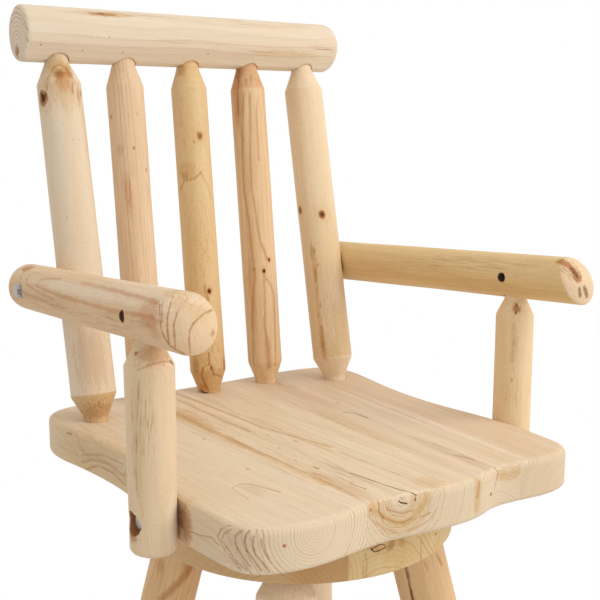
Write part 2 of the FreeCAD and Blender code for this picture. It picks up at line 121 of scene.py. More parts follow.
def tint(name, red, green, blue):
    """A colour setting."""
    return bpy.props.FloatVectorProperty(
        name=name,
        description="Ground colour of the " + name.lower(),
        default=srgb(red, green, blue),
        subtype="COLOR",
        min=0,
        max=1,
    )


class WoodColours(bpy.types.PropertyGroup):
    """Ground colours of the wood, piece by piece, and the colours that mark it."""

    rail_wood: tint("Back rail", 229, 210, 184)
    slat_outer_left_wood: tint("Outer left slat", 230, 210, 182)
    slat_inner_left_wood: tint("Inner left slat", 231, 202, 168)
    slat_centre_wood: tint("Centre slat", 226, 195, 147)
    slat_inner_right_wood: tint("Inner right slat", 231, 200, 160)
    slat_outer_right_wood: tint("Outer right slat", 236, 213, 178)
    arm_left_wood: tint("Left arm", 228, 196, 158)
    arm_right_wood: tint("Right arm", 227, 197, 146)
    post_left_wood: tint("Left arm post", 230, 204, 168)
    post_right_wood: tint("Right arm post", 235, 208, 166)
    seat_left_wood: tint("Left seat plank", 229, 208, 178)
    seat_middle_left_wood: tint("Middle left seat plank", 229, 207, 176)
    seat_middle_right_wood: tint("Middle right seat plank", 227, 204, 174)
    seat_right_wood: tint("Right seat plank", 225, 200, 169)
    base_wood: tint("Base top", 222, 194, 144)
    leg_wood: tint("Legs", 224, 188, 144)
    rung_wood: tint("Foot rungs", 216, 182, 140)
    # also used for painted shade inside the arms' cross-bolt holes and, in part, where the left arm post
    # meets the seat
    knot: tint("Dark of the knots", 80, 34, 6)
    # also used for painted shade in the left post's counterbore, the painted shadow of the left arm on its
    # post, and in part painted shade where that post meets the seat
    bark: tint("Bark and the body of knots", 166, 102, 42)
    rust: tint("Red heartwood", 192, 124, 68)
    honey: tint("Honey coloured stains", 204, 163, 104)
    skin: tint("Skin under the bark", 212, 178, 132)
    # also used for painted light on the shaded lower right of the left arm post and, in part, on the outer
    # right slat
    pale: tint("Pale sapwood", 240, 222, 196)
    crack: tint("Drying cracks", 92, 48, 8)
    zinc_steel: tint("Zinc plated fastenings", 176, 176, 174)
    swivel_steel: tint("Swivel plates", 148, 148, 146)


def length_setting(name, description, default):
    """A size in metres."""
    return bpy.props.FloatProperty(name=name, description=description, default=default, unit="LENGTH")


def angle_setting(name, description, degrees):
    """An angle."""
    turn = math.radians(degrees)
    return bpy.props.FloatProperty(name=name, description=description, default=turn, subtype="ANGLE")


def power_setting(name, description, default):
    """The power of a lamp in watts."""
    return bpy.props.FloatProperty(name=name, description=description, default=default, unit="POWER")


def place_setting(name, description, default):
    """A place in metres."""
    return bpy.props.FloatVectorProperty(
        name=name, description=description, default=default, subtype="XYZ", unit="LENGTH"
    )


class LogShape(bpy.types.PropertyGroup):
    """Sizes of the peeled skin of a log."""

    grid: length_setting("Skin grid", "Size of the grid that a log's skin is built on", 0.0016)
    coarse_grid: length_setting("Leg grid", "Size of the grid for legs and rungs", 0.003)
    hollow: length_setting("Hollows", "Depth of the long hollows in a peeled log", 0.0014)
    hollow_width: length_setting("Hollow width", "Width of the long hollows", 0.05)
    knife: length_setting("Knife marks", "Depth of the marks left by the peeling knife", 0.0006)
    knife_width: length_setting("Knife width", "Width of the marks left by the peeling knife", 0.013)
    swell: length_setting("Swell", "Grown back after the hollows so that the log keeps its girth", 0.00075)
    stretch: bpy.props.FloatProperty(
        name="Stretch", description="How much longer than wide hollows and knife marks are", default=7.0
    )


class StageSetup(bpy.types.PropertyGroup):
    """Camera, floor and lamps."""

    camera_place: place_setting("Camera", "Place of the camera", (-0.694, -1.0018, 1.1333))
    camera_yaw: angle_setting("Camera yaw", "Turn of the view to the right of straight back", 34.7)
    camera_pitch: angle_setting("Camera pitch", "Fall of the view", 9.5)
    camera_lens: bpy.props.FloatProperty(
        name="Lens", description="Focal length in millimetres on a 36 mm frame", default=59.418
    )
    floor_radius: length_setting("Floor", "Radius of the floor", 8.0)
    shadow_radius: length_setting("Shadow", "Radius of the part of the floor that shows shadow", 0.95)
    floor_colour: tint("Floor", 236, 236, 236)
    fill: bpy.props.FloatProperty(
        name="Fill", description="Strength of the light from all around", default=0.68
    )
    key_power: power_setting("Key lamp", "Power of the large lamp at the front right", 44.0)
    key_place: place_setting("Key place", "Place of the large lamp at the front right", (1.5, -1.9, 2.3))
    key_size: length_setting("Key size", "Width of the large lamp at the front right", 2.2)
    top_power: power_setting("Top lamp", "Power of the large lamp overhead", 8.0)
    top_place: place_setting("Top place", "Place of the large lamp overhead", (-0.5, 0.4, 3.2))
    top_size: length_setting("Top size", "Width of the large lamp overhead", 2.6)
    aim: place_setting("Aim", "Place that both lamps look at", (0.0, 0.0, 0.85))


@dataclass
class Wood:
    """How one piece of wood looks. Lengths are millimetres and places are points on the stool."""

    seed: int
    ring: float = 3.0  # width of a year
    spread: float = 0.0  # growth of that width from the pith out
    line: float = 0.5  # strength of the ring lines
    line_far: float = 0.0  # what is added to it in end grain, far from the pith
    top_line: float = 1.0  # share of it that is left on a top
    sway: float = 14.0  # slow waves of the rings
    ripple: float = 4.0  # quick waves of the rings
    warm: float = 0.5  # warm zones
    red: float = 0.0  # red flames
    fibre: float = 0.2
    stripe: float = 0.12
    grit: float = 0.22
    even: float = 0.0  # 1 where all the rings are alike
    dash: float = 22.0  # length of the dashes in a streak
    flecks: float = 0.25
    pith: tuple = (0.0, 0.0)
    grey: float = 0.5  # share of end_tone in the end grain
    end_tone: tuple = (0.74, 0.74, 0.74)
    end_from: float = 0.55  # how squarely a face crosses the pith to be end grain
    late: float = 0.25  # share of a year before its line starts
    end_line: float = 0.15  # what end grain adds to the strength of the lines
    dots: float = 0.3  # resin
    knots: tuple = ()  # place, radius, share of dark
    marks: tuple = ()  # place, half length, half width, share, colour; some marks are painted shade and some painted light
    streaks: tuple = ()  # as marks, in dashes
    lines: tuple = ()  # places, width, share, stain
    cuts: tuple = ()  # place on a plane, way, blur, share, stain
    bands: tuple = ()  # inner, outer, share, stain
    holes: tuple = ()  # place, way, radius, share, colour of the painted shade inside the hole


@dataclass
class Grain:
    """Where a piece's pith runs: a point on it and a turn that lays Z along it."""

    centre: Vector
    turn: Matrix

    def spot(self, place):
        """A place on the stool, in millimetres, as a place in the grain."""
        return self.turn.inverted() @ (Vector(place) - self.centre / MM)


class Wire:
    """A node's output that can stand in a sum."""

    def __init__(self, board, socket):
        self.board = board
        self.socket = socket

    def __add__(self, other):
        return self.board.maths("ADD", self, other)

    def __radd__(self, other):
        return self.board.maths("ADD", other, self)

    def __sub__(self, other):
        return self.board.maths("SUBTRACT", self, other)

    def __rsub__(self, other):
        return self.board.maths("SUBTRACT", other, self)

    def __mul__(self, other):
        return self.board.maths("MULTIPLY", self, other)

    def __rmul__(self, other):
        return self.board.maths("MULTIPLY", other, self)

    def __truediv__(self, other):
        return self.board.maths("DIVIDE", self, other)

    def __rtruediv__(self, other):
        return self.board.maths("DIVIDE", other, self)


class Board:
    """The nodes of one material or world."""

    def __init__(self, tree):
        self.tree = tree
        tree.nodes.clear()

    def add(self, kind, settings, inputs, output=0):
        """A node of a kind, its settings made first, then its inputs set or linked."""
        node = self.tree.nodes.new(kind)
        for name, value in settings.items():
            setattr(node, name, value)
        for key, value in inputs.items():
            socket = node.inputs[key]
            if isinstance(value, Wire):
                self.tree.links.new(value.socket, socket)
            elif socket.type == "RGBA" and len(value) == 3:
                socket.default_value = (*value, 1)
            else:
                socket.default_value = value
        return Wire(self, node.outputs[output]) if node.outputs else None

    def maths(self, operation, *values):
        """A sum on values."""
        return self.add("ShaderNodeMath", {"operation": operation}, dict(enumerate(values)))

    def vector(self, operation, *values, output=0):
        """A sum on vectors."""
        return self.add("ShaderNodeVectorMath", {"operation": operation}, dict(enumerate(values)), output)

    def dot(self, a, b):
        return self.vector("DOT_PRODUCT", a, b, output="Value")

    def length(self, a):
        return self.vector("LENGTH", a, output="Value")

    def step(self, value, low, high):
        """A smooth rise from 0 at low to 1 at high."""
        inputs = {"Value": value, "From Min": low, "From Max": high}
        return self.add("ShaderNodeMapRange", {"interpolation_type": "SMOOTHSTEP"}, inputs)

    def blend(self, share, a, b, way="MIX"):
        """Colour a, turned into b by a share."""
        settings = {"data_type": "RGBA", "blend_type": way}
        return self.add("ShaderNodeMix", settings, {0: share, 6: a, 7: b}, 2)

    def shade(self, colour, brightness):
        """The colour made lighter or darker by a factor."""
        grey = self.add("ShaderNodeCombineColor", {}, {0: brightness, 1: brightness, 2: brightness})
        return self.blend(1.0, colour, grey, "MULTIPLY")

    def stretched(self, place, size, seed):
        """The place in steps of a size across and along the grain, shifted by a seed."""
        across, along = size
        shift = tuple(seed * step for step in SEED_SHIFT)
        return self.vector("MULTIPLY_ADD", place, (1 / across, 1 / across, 1 / along), shift)

    def noise(self, place, size, seed, detail=2.0):
        """Noise of a size across and along the grain, from about -0.5 to 0.5."""
        spot = self.stretched(place, size, seed)
        inputs = {"Vector": spot, "Scale": 1.0, "Detail": detail, "Roughness": 0.55}
        return self.add("ShaderNodeTexNoise", {}, inputs) - 0.5


def finished(board, surface):
    """Ends a material's nodes in its output."""
    board.add("ShaderNodeOutputMaterial", {}, {"Surface": surface})


def new_board(name):
    """A new material and its nodes."""
    material = bpy.data.materials.new(name)
    material.use_nodes = True
    return material, Board(material.node_tree)


def log_grain(node):
    """The grain of a log, found from the shape of its solid."""
    faces = frame["nodes"][node].data.polygons
    spots = np.array([f.center for f in faces])
    areas = np.array([f.area for f in faces])
    centre = (spots * areas[:, None]).sum(0) / areas.sum()
    apart = spots - centre
    ways = np.linalg.eigh((apart * areas[:, None]).T @ apart)[1]
    return grain_along(Vector(centre), Vector(ways[:, 2]))


def grain_along(centre, way):
    """The grain through a point in a direction."""
    along = way.normalized()
    if max(along, key=abs) < 0:
        along = -along
    level = Vector((0, -1, 0)) if abs(along.x) > 0.9 else Vector((1, 0, 0))
    across = (level - along * level.dot(along)).normalized()
    return Grain(centre, Matrix((across, along.cross(across), along)).transposed())


def knot_marks(board, p, z, grain, wood):
    """For each knot, its radius, the share of dark in it and the distance from its core."""
    marks = []
    for place, radius, dark in wood.knots:
        spot = grain.spot(place)
        out = Vector((spot.x, spot.y, 0)).normalized()
        aside = board.dot(p, (-out.y, out.x, 0))
        ahead = board.dot(p, tuple(out))
        behind = board.maths("LESS_THAN", ahead, 0.0) * NEVER
        up = (z - spot.z) * KNOT_OVAL
        apart = board.maths("SQRT", aside * aside + up * up) + behind
        marks.append((radius, dark, apart))
    return marks


def mark_mask(board, p, grain, place, half_length, half_width, ragged):
    """A patch along the grain, 1 in its middle, with a ragged edge."""
    apart = board.vector("SUBTRACT", p, tuple(grain.spot(place)))
    scaled = board.vector("DIVIDE", apart, (half_width, half_width, half_length))
    return 1 - board.step(board.length(scaled) + ragged, 0.4, 1.0)


def line_mask(board, p, grain, points, width, ragged):
    """A line through some places, 1 along its middle, with a ragged edge."""
    mask = 0.0
    for start, stop in zip(points, points[1:]):
        a = grain.spot(start)
        run = grain.spot(stop) - a
        apart = board.vector("SUBTRACT", p, tuple(a))
        share = board.dot(apart, tuple(run / run.length_squared))
        share = board.add("ShaderNodeClamp", {}, {"Value": share})
        nearest = board.add("ShaderNodeVectorMath", {"operation": "SCALE"}, {0: tuple(run), "Scale": share})
        gap = board.length(board.vector("SUBTRACT", apart, nearest)) + ragged * width
        mask = board.maths("MAXIMUM", 1 - board.step(gap, width * 0.2, width), mask)
    return mask


def cut_mask(board, p, grain, place, way, soft):
    """All that lies beyond a plane through a place, facing a way."""
    facing = grain.turn.inverted() @ Vector(way).normalized()
    beyond = board.dot(p, tuple(facing)) - grain.spot(place).dot(facing)
    return board.step(beyond, -soft, soft)


def hole_shade_mask(board, p, normal, grain, place, way, radius):
    """The wall and the floor of a hole that opens a way, where shade is painted."""
    facing = grain.turn.inverted() @ Vector(way)
    apart = board.vector("SUBTRACT", p, tuple(grain.spot(place)))
    ahead = board.dot(apart, tuple(facing))
    axis = board.add("ShaderNodeVectorMath", {"operation": "SCALE"}, {0: tuple(facing), "Scale": ahead})
    aside = board.length(board.vector("SUBTRACT", apart, axis))
    wall = 1 - board.step(board.dot(normal, way), 0.3, 0.8)
    floor = 1 - board.step(ahead, *HOLE_FLOOR)
    return board.maths("MAXIMUM", wall, floor) * (1 - board.step(aside, radius, radius + 1))


def wood_material(name, slot, grain, wood):
    """Solid wood: rings about the pith, fibres along it, knots, stains and cracks, with some painted shade
    and painted light.
    """
    colours = bpy.context.scene.stool_colours
    ground = tuple(getattr(colours, slot))
    material, board = new_board(name)
    place = board.add("ShaderNodeTexCoord", {}, {}, "Object")
    inputs = {
        "Vector": place,
        "Location": grain.centre,
        "Rotation": grain.turn.to_euler(),
        "Scale": (MM, MM, MM),
    }
    p = board.add("ShaderNodeMapping", {"vector_type": "TEXTURE"}, inputs)
    z = board.dot(p, (0, 0, 1))
    seed = wood.seed

    def shifted(tone):
        return tuple(value * share for value, share in zip(ground, tone))

    # Blends in a listed colour, for real stains and also for painted shade and painted light
    def stain_and_painted_light(colour, mask, mark_colour):
        return board.blend(mask, colour, tuple(getattr(colours, mark_colour)))

    # Rings, swayed along the log and pushed out round the knots
    drift = board.noise(p, DRIFT, seed + 1) * 9
    x = board.dot(p, (1, 0, 0)) - wood.pith[0] + drift
    y = board.dot(p, (0, 1, 0)) - wood.pith[1] - drift * 0.6
    reach = board.maths("SQRT", x * x + y * y)
    depth = reach + board.noise(p, SWAY, seed + 2, 1.0) * wood.sway
    depth = depth + board.noise(p, RIPPLE, seed + 3) * wood.ripple
    knots = knot_marks(board, p, z, grain, wood)
    for radius, _, apart in knots:
        share = apart / (radius * 1.7)
        depth = depth + radius * 1.5 / (1 + share * share * share)
    if wood.spread:
        stretch = board.maths("MAXIMUM", 1 + depth * (wood.spread / wood.ring), 0.05)
        turns = board.maths("LOGARITHM", stretch, math.e) / wood.spread
    else:
        turns = depth / wood.ring
    ring = board.maths("FLOOR", turns)
    within = turns - ring
    chance = board.add("ShaderNodeTexWhiteNoise", {"noise_dimensions": "1D"}, {"W": ring + seed * 11.3})
    soft = board.step(within, wood.late, YEAR_LINE) - board.step(within, YEAR_LINE, 1.0)
    thin = board.step(within, 0.72, 0.86) - board.step(within, YEAR_LINE, 1.0)
    broken = board.noise(p, BREAKS, seed + 12)
    strength = chance * chance * (0.8 - wood.even * 0.8) + 0.2 + wood.even * 0.6
    late = (soft * 0.4 + thin * 0.7) * strength * (1 + broken * 1.6)

    # End grain shows where the surface faces along the pith
    normal = board.add("ShaderNodeTexCoord", {}, {}, "Normal")
    facing = board.maths("ABSOLUTE", board.dot(normal, tuple(grain.turn.col[2])))
    end = board.step(facing, wood.end_from, wood.end_from + 0.15)
    along = 1 - end
    top = board.step(board.dot(normal, (0, 0, 1)), 0.7, 0.9)

    # Ground colour with warm and red zones
    red = shifted(RED_TONE)
    line = shifted(LINE_TONE)
    zone = board.step(board.noise(p, ZONES, seed + 4), -0.16, 0.2)
    colour = board.blend(zone * wood.warm, ground, shifted(WARM_TONE))
    flame = board.step(board.noise(p, FLAMES, seed + 5), -0.05, 0.22)
    colour = board.blend(flame * wood.red, colour, red)
    colour = board.blend(end * wood.grey, colour, shifted(wood.end_tone))

    # Cut faces, bands in the end grain, stains, painted shade, painted light and clusters of dashes
    ragged = board.noise(p, FRAYED, seed + 9) * 0.9 + board.noise(p, TORN, seed + 10) * 0.9
    for place, way, blur, share, mark_colour in wood.cuts:
        colour = stain_and_painted_light(colour, cut_mask(board, p, grain, place, way, blur) * share, mark_colour)
    wavy = depth + ragged * 7
    for inner, outer, share, mark_colour in wood.bands:
        mask = board.step(wavy, inner - 2, inner) * (1 - board.step(wavy, outer - 1, outer + 1))
        colour = stain_and_painted_light(colour, mask * end * share, mark_colour)
    for place, half_length, half_width, share, mark_colour in wood.marks:
        mask = mark_mask(board, p, grain, place, half_length, half_width, ragged)
        colour = stain_and_painted_light(colour, mask * share, mark_colour)
    dash = board.step(board.noise(p, (DASH_WIDTH, wood.dash), seed + 13), 0.0, 0.14)
    for place, half_length, half_width, share, mark_colour in wood.streaks:
        mask = mark_mask(board, p, grain, place, half_length, half_width, ragged)
        colour = stain_and_painted_light(colour, mask * dash * share, mark_colour)

    # Ring lines, fibres, flecks and resin dots
    far = board.step(reach, 25.0, 60.0) * end * wood.line_far
    drawn = (wood.line + far + end * wood.end_line) * (1 - top * (1 - wood.top_line))
    colour = board.blend(late * drawn, colour, line)
    fine = board.noise(p, FIBRES, seed + 6, 3.0)
    broad = board.noise(p, STRIPES, seed + 7)
    grit = board.noise(p, GRIT, seed + 14)
    stripes = (fine * wood.fibre + broad * wood.stripe) * along
    colour = board.shade(colour, 1 + stripes + grit * wood.grit)
    fleck = board.step(board.noise(p, FLECKS, seed + 8), 0.17, 0.26) * along
    colour = board.blend(fleck * wood.flecks, colour, line)
    cells = {"Vector": board.stretched(p, RESIN, seed + 11), "Scale": 1.0, "Randomness": 1.0}
    dot = 1 - board.step(board.add("ShaderNodeTexVoronoi", {}, cells), 0.05, 0.1)
    colour = board.blend(dot * wood.dots, colour, red)

    # Knots: rings of red grain about a brown body with a cracked dark core
    for radius, dark, apart in knots:
        edge = apart * (1 + ragged * 0.7)
        glow = 1 - board.step(edge, radius, radius * 2.6)
        swirl = board.maths("SINE", edge * (10.0 / radius)) * 0.5 + 0.5
        colour = board.blend(glow * (0.15 + swirl * 0.4), colour, red)
        body = 1 - board.step(edge, radius * 0.75, radius * 1.1)
        colour = stain_and_painted_light(colour, body * 0.8, "bark")
        core = 1 - board.step(edge + ragged * radius, radius * 0.3, radius * 0.75)
        rim = board.step(edge, radius * 0.8, radius * 0.95) * body
        colour = stain_and_painted_light(colour, board.maths("MAXIMUM", core, rim * 0.7) * dark, "knot")

    # Cracks, drawn lines and painted shade inside holes
    for points, width, share, mark_colour in wood.lines:
        colour = stain_and_painted_light(colour, line_mask(board, p, grain, points, width, ragged) * share, mark_colour)
    for place, way, radius, share, mark_colour in wood.holes:
        colour = stain_and_painted_light(colour, hole_shade_mask(board, p, normal, grain, place, way, radius) * share, mark_colour)

    height = fine * 0.5 + late * 0.35 + broad * 0.4
    relief = {"Strength": BUMP_SHARE, "Distance": BUMP_DEPTH, "Height": height}
    bump = board.add("ShaderNodeBump", {}, relief)
    rough = WOOD_ROUGH + fine * 0.2 + late * 0.06
    inputs = {"Base Color": colour, "Roughness": rough, "Normal": bump, "Specular IOR Level": WOOD_SHINE}
    finished(board, board.add("ShaderNodeBsdfPrincipled", {}, inputs))
    return material


def steel_material(name, slot, bright, rough):
    """Zinc plated steel with a faint spangle and dull handling marks."""
    ground = getattr(bpy.context.scene.stool_colours, slot)
    material, board = new_board(name)
    place = board.add("ShaderNodeTexCoord", {}, {}, "Object")
    spangle = board.add("ShaderNodeTexVoronoi", {}, {"Vector": place, "Scale": SPANGLES}, "Color")
    grey = board.dot(spangle, (0.33, 0.33, 0.33))
    rub = board.add("ShaderNodeTexNoise", {}, {"Vector": place, "Scale": RUBS, "Detail": 4.0})
    colour = board.shade(tuple(ground), (0.86 + grey * 0.2 + (rub - 0.5) * 0.25) * bright)
    bump = board.add("ShaderNodeBump", {}, {"Strength": 0.2, "Distance": 0.0002, "Height": rub})
    dull = rough + (rub - 0.5) * 0.25 + grey * 0.08
    inputs = {"Base Color": colour, "Metallic": 0.9, "Roughness": dull, "Normal": bump}
    finished(board, board.add("ShaderNodeBsdfPrincipled", {}, inputs))
    return material


def alone(piece):
    """Makes a piece the only selected and active one."""
    bpy.ops.object.select_all(action="DESELECT")
    piece.select_set(True)
    bpy.context.view_layer.objects.active = piece


def applied(piece, name, kind, **settings):
    """Adds a modifier to a piece and applies it."""
    modifier = piece.modifiers.new(name, kind)
    for key, value in settings.items():
        setattr(modifier, key, value)
    bpy.ops.object.modifier_apply(modifier=name)


def hollowed(piece, grain, seed, depth, width):
    """Sinks long hollows into a log, running with its grain."""
    shape = bpy.context.scene.stool_logs
    start = grain.centre + Vector((seed, 0, 0)) * width
    bpy.ops.object.empty_add(location=start, rotation=grain.turn.to_euler())
    guide = bpy.context.object
    guide.scale = (width, width, width * shape.stretch)
    bpy.context.view_layer.update()
    marks = bpy.data.textures.new("marks", "CLOUDS")
    marks.noise_scale = 1.0
    marks.noise_depth = 1
    alone(piece)
    applied(
        piece,
        "hollows",
        "DISPLACE",
        texture=marks,
        texture_coords="OBJECT",
        texture_coords_object=guide,
        mid_level=1.0,
        strength=depth,
    )
    bpy.data.objects.remove(guide)
    bpy.data.textures.remove(marks)


def peeled_log(node, seed, grid, swell):
    """A hand-peeled copy of a log's solid: soft edges, long hollows and knife marks."""
    shape = bpy.context.scene.stool_logs
    grain = log_grain(node)
    piece = bpy.data.objects.new(node + "_peeled", frame["nodes"][node].data.copy())
    bpy.context.scene.collection.objects.link(piece)
    alone(piece)
    bpy.ops.object.mode_set(mode="EDIT")
    bpy.ops.mesh.select_all(action="SELECT")
    bpy.ops.mesh.remove_doubles(threshold=MERGE_GAP)
    bpy.ops.object.mode_set(mode="OBJECT")
    applied(piece, "skin", "REMESH", mode="VOXEL", voxel_size=grid)
    applied(piece, "soften", "SMOOTH", factor=0.5, iterations=2)
    hollowed(piece, grain, seed, shape.hollow, shape.hollow_width)
    hollowed(piece, grain, seed + 3, shape.knife, shape.knife_width)
    if swell:
        applied(piece, "swell", "DISPLACE", mid_level=0.0, strength=swell)
    bpy.ops.object.shade_smooth()
    return piece, grain


def dressed(piece, node, material):
    """Lets a new piece stand for its solid, with its finish."""
    piece.data.materials.clear()
    piece.data.materials.append(material)
    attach(piece, frame["nodes"][node]["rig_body"])
    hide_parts(node)


def coated(node, material):
    """Gives a solid that stays its finish."""
    for holder in frame["nodes"][node].material_slots:
        holder.material = material


def dressed_log(node, slot, wood, grid, swell):
    """Dresses one log in its wood."""
    piece, grain = peeled_log(node, wood.seed, grid, swell)
    dressed(piece, node, wood_material(node + "_wood", slot, grain, wood))


def dressed_logs(prefix, slot_prefix, woods):
    """Dresses a group of logs, skinned on the fine grid, each in its own wood."""
    shape = bpy.context.scene.stool_logs
    for name, wood in woods.items():
        dressed_log(prefix + name, slot_prefix + name + "_wood", wood, shape.grid, shape.swell)


class StageOperator(bpy.types.Operator):
    """Camera, white room, pale floor and soft lamps"""

    bl_idname = "stool.stage"
    bl_label = "Stage"

    def execute(self, context):
        setup = context.scene.stool_stage
        context.scene.view_settings.view_transform = "Standard"
        self.camera(context, setup)
        self.room(context, setup)
        self.floor(setup)
        self.lamp("key", setup.key_place, setup.key_size, setup.key_power, setup.aim)
        self.lamp("top", setup.top_place, setup.top_size, setup.top_power, setup.aim)
        return {"FINISHED"}

    def camera(self, context, setup):
        camera = bpy.data.objects.new("camera", bpy.data.cameras.new("camera"))
        context.scene.collection.objects.link(camera)
        camera.data.sensor_width = FILM_WIDTH
        camera.data.lens = setup.camera_lens
        camera.location = setup.camera_place
        camera.rotation_euler = (math.pi / 2 - setup.camera_pitch, 0, -setup.camera_yaw)
        context.scene.camera = camera

    def lamp(self, name, place, size, power, aim):
        """A large square lamp that looks at a place."""
        bpy.ops.object.light_add(type="AREA", location=place)
        lamp = bpy.context.object
        lamp.name = name + "_lamp"
        lamp.data.size = size
        lamp.data.energy = power
        look = Vector(aim) - Vector(place)
        lamp.rotation_euler = look.to_track_quat("-Z", "Y").to_euler()

    def seen(self, board):
        """1 for rays that show the surroundings, straight or in a reflection."""
        straight = board.add("ShaderNodeLightPath", {}, {}, "Is Camera Ray")
        mirrored = board.add("ShaderNodeLightPath", {}, {}, "Is Glossy Ray")
        through = board.add("ShaderNodeLightPath", {}, {}, "Is Transmission Ray")
        return board.maths("MINIMUM", straight + mirrored + through, 1.0)

    def room(self, context, setup):
        world = bpy.data.worlds.new("white_room")
        context.scene.world = world
        world.use_nodes = True
        board = Board(world.node_tree)
        strength = setup.fill + self.seen(board) * (1 - setup.fill)
        light = board.add("ShaderNodeBackground", {}, {"Color": (1, 1, 1), "Strength": strength})
        board.add("ShaderNodeOutputWorld", {}, {"Surface": light})

    def floor(self, setup):
        radius = setup.floor_radius
        bpy.ops.mesh.primitive_circle_add(vertices=FLOOR_CORNERS, radius=radius, fill_type="NGON")
        floor = bpy.context.object
        floor.name = "floor"
        material, board = new_board("pale_floor")
        place = board.add("ShaderNodeTexCoord", {}, {}, "Object")
        away = board.step(board.length(place), setup.shadow_radius * SHADOW_FADE, setup.shadow_radius)
        matt = board.add("ShaderNodeBsdfDiffuse", {}, {"Color": tuple(setup.floor_colour)})
        white = board.add("ShaderNodeEmission", {}, {"Color": (1, 1, 1), "Strength": 1.0})
        share = away * self.seen(board)
        finished(board, board.add("ShaderNodeMixShader", {}, {0: share, 1: matt, 2: white}))
        floor.data.materials.append(material)


RAIL_WOOD = Wood(
    seed=3, ring=5.5, line=0.2, sway=10, ripple=2.5, warm=0.25, fibre=0.12, grit=0.14, flecks=0.1, dots=0.1,
    grey=0.85, end_tone=(0.99, 0.99, 1.0), end_line=0.8, even=0.4, dash=45, pith=(-4, 16),
    cuts=(((0, 256, 1249), (0, -0.42, -0.91), 0.9, 0.45, "pale"),),
    marks=(
        ((-128, 265, 1291), 60, 7, 0.6, "honey"), ((-136, 265, 1291), 24, 5, 0.6, "bark"),
        ((-138, 265, 1291), 6, 2.2, 0.5, "knot"), ((-244, 292, 1240), 9, 10, 0.8, "bark"),
        ((-244, 290, 1237), 9, 4, 0.6, "knot"), ((-225, 257, 1246), 2.4, 2.4, 0.6, "bark"),
        ((-167, 261, 1241), 2.4, 2.4, 0.6, "bark"), ((-110, 261, 1241), 2.4, 2.4, 0.55, "bark"),
        ((-56, 262, 1240), 2.4, 2.4, 0.5, "bark"), ((-133, 252, 1260), 1.6, 1.6, 0.35, "bark"),
        ((20, 258, 1246), 2.2, 2.2, 0.5, "bark"), ((150, 256, 1251), 90, 7, 0.35, "honey"),
    ),
    streaks=(
        ((-90, 267, 1292), 80, 6, 0.55, "bark"), ((-175, 264, 1291), 40, 6, 0.55, "bark"),
        ((214, 252, 1260), 46, 7, 0.6, "bark"), ((120, 255, 1253), 80, 6, 0.3, "bark"),
        ((-20, 253, 1258), 90, 6, 0.25, "bark"), ((60, 262, 1288), 120, 10, 0.2, "bark"),
    ),
)


class RailOperator(bpy.types.Operator):
    """The back rail, a pale peeled log with a flat along its underside"""

    bl_idname = "stool.back_rail"
    bl_label = "Back rail"

    def execute(self, context):
        shape = context.scene.stool_logs
        dressed_log("back_rail", "rail_wood", RAIL_WOOD, shape.grid, shape.swell)
        return {"FINISHED"}


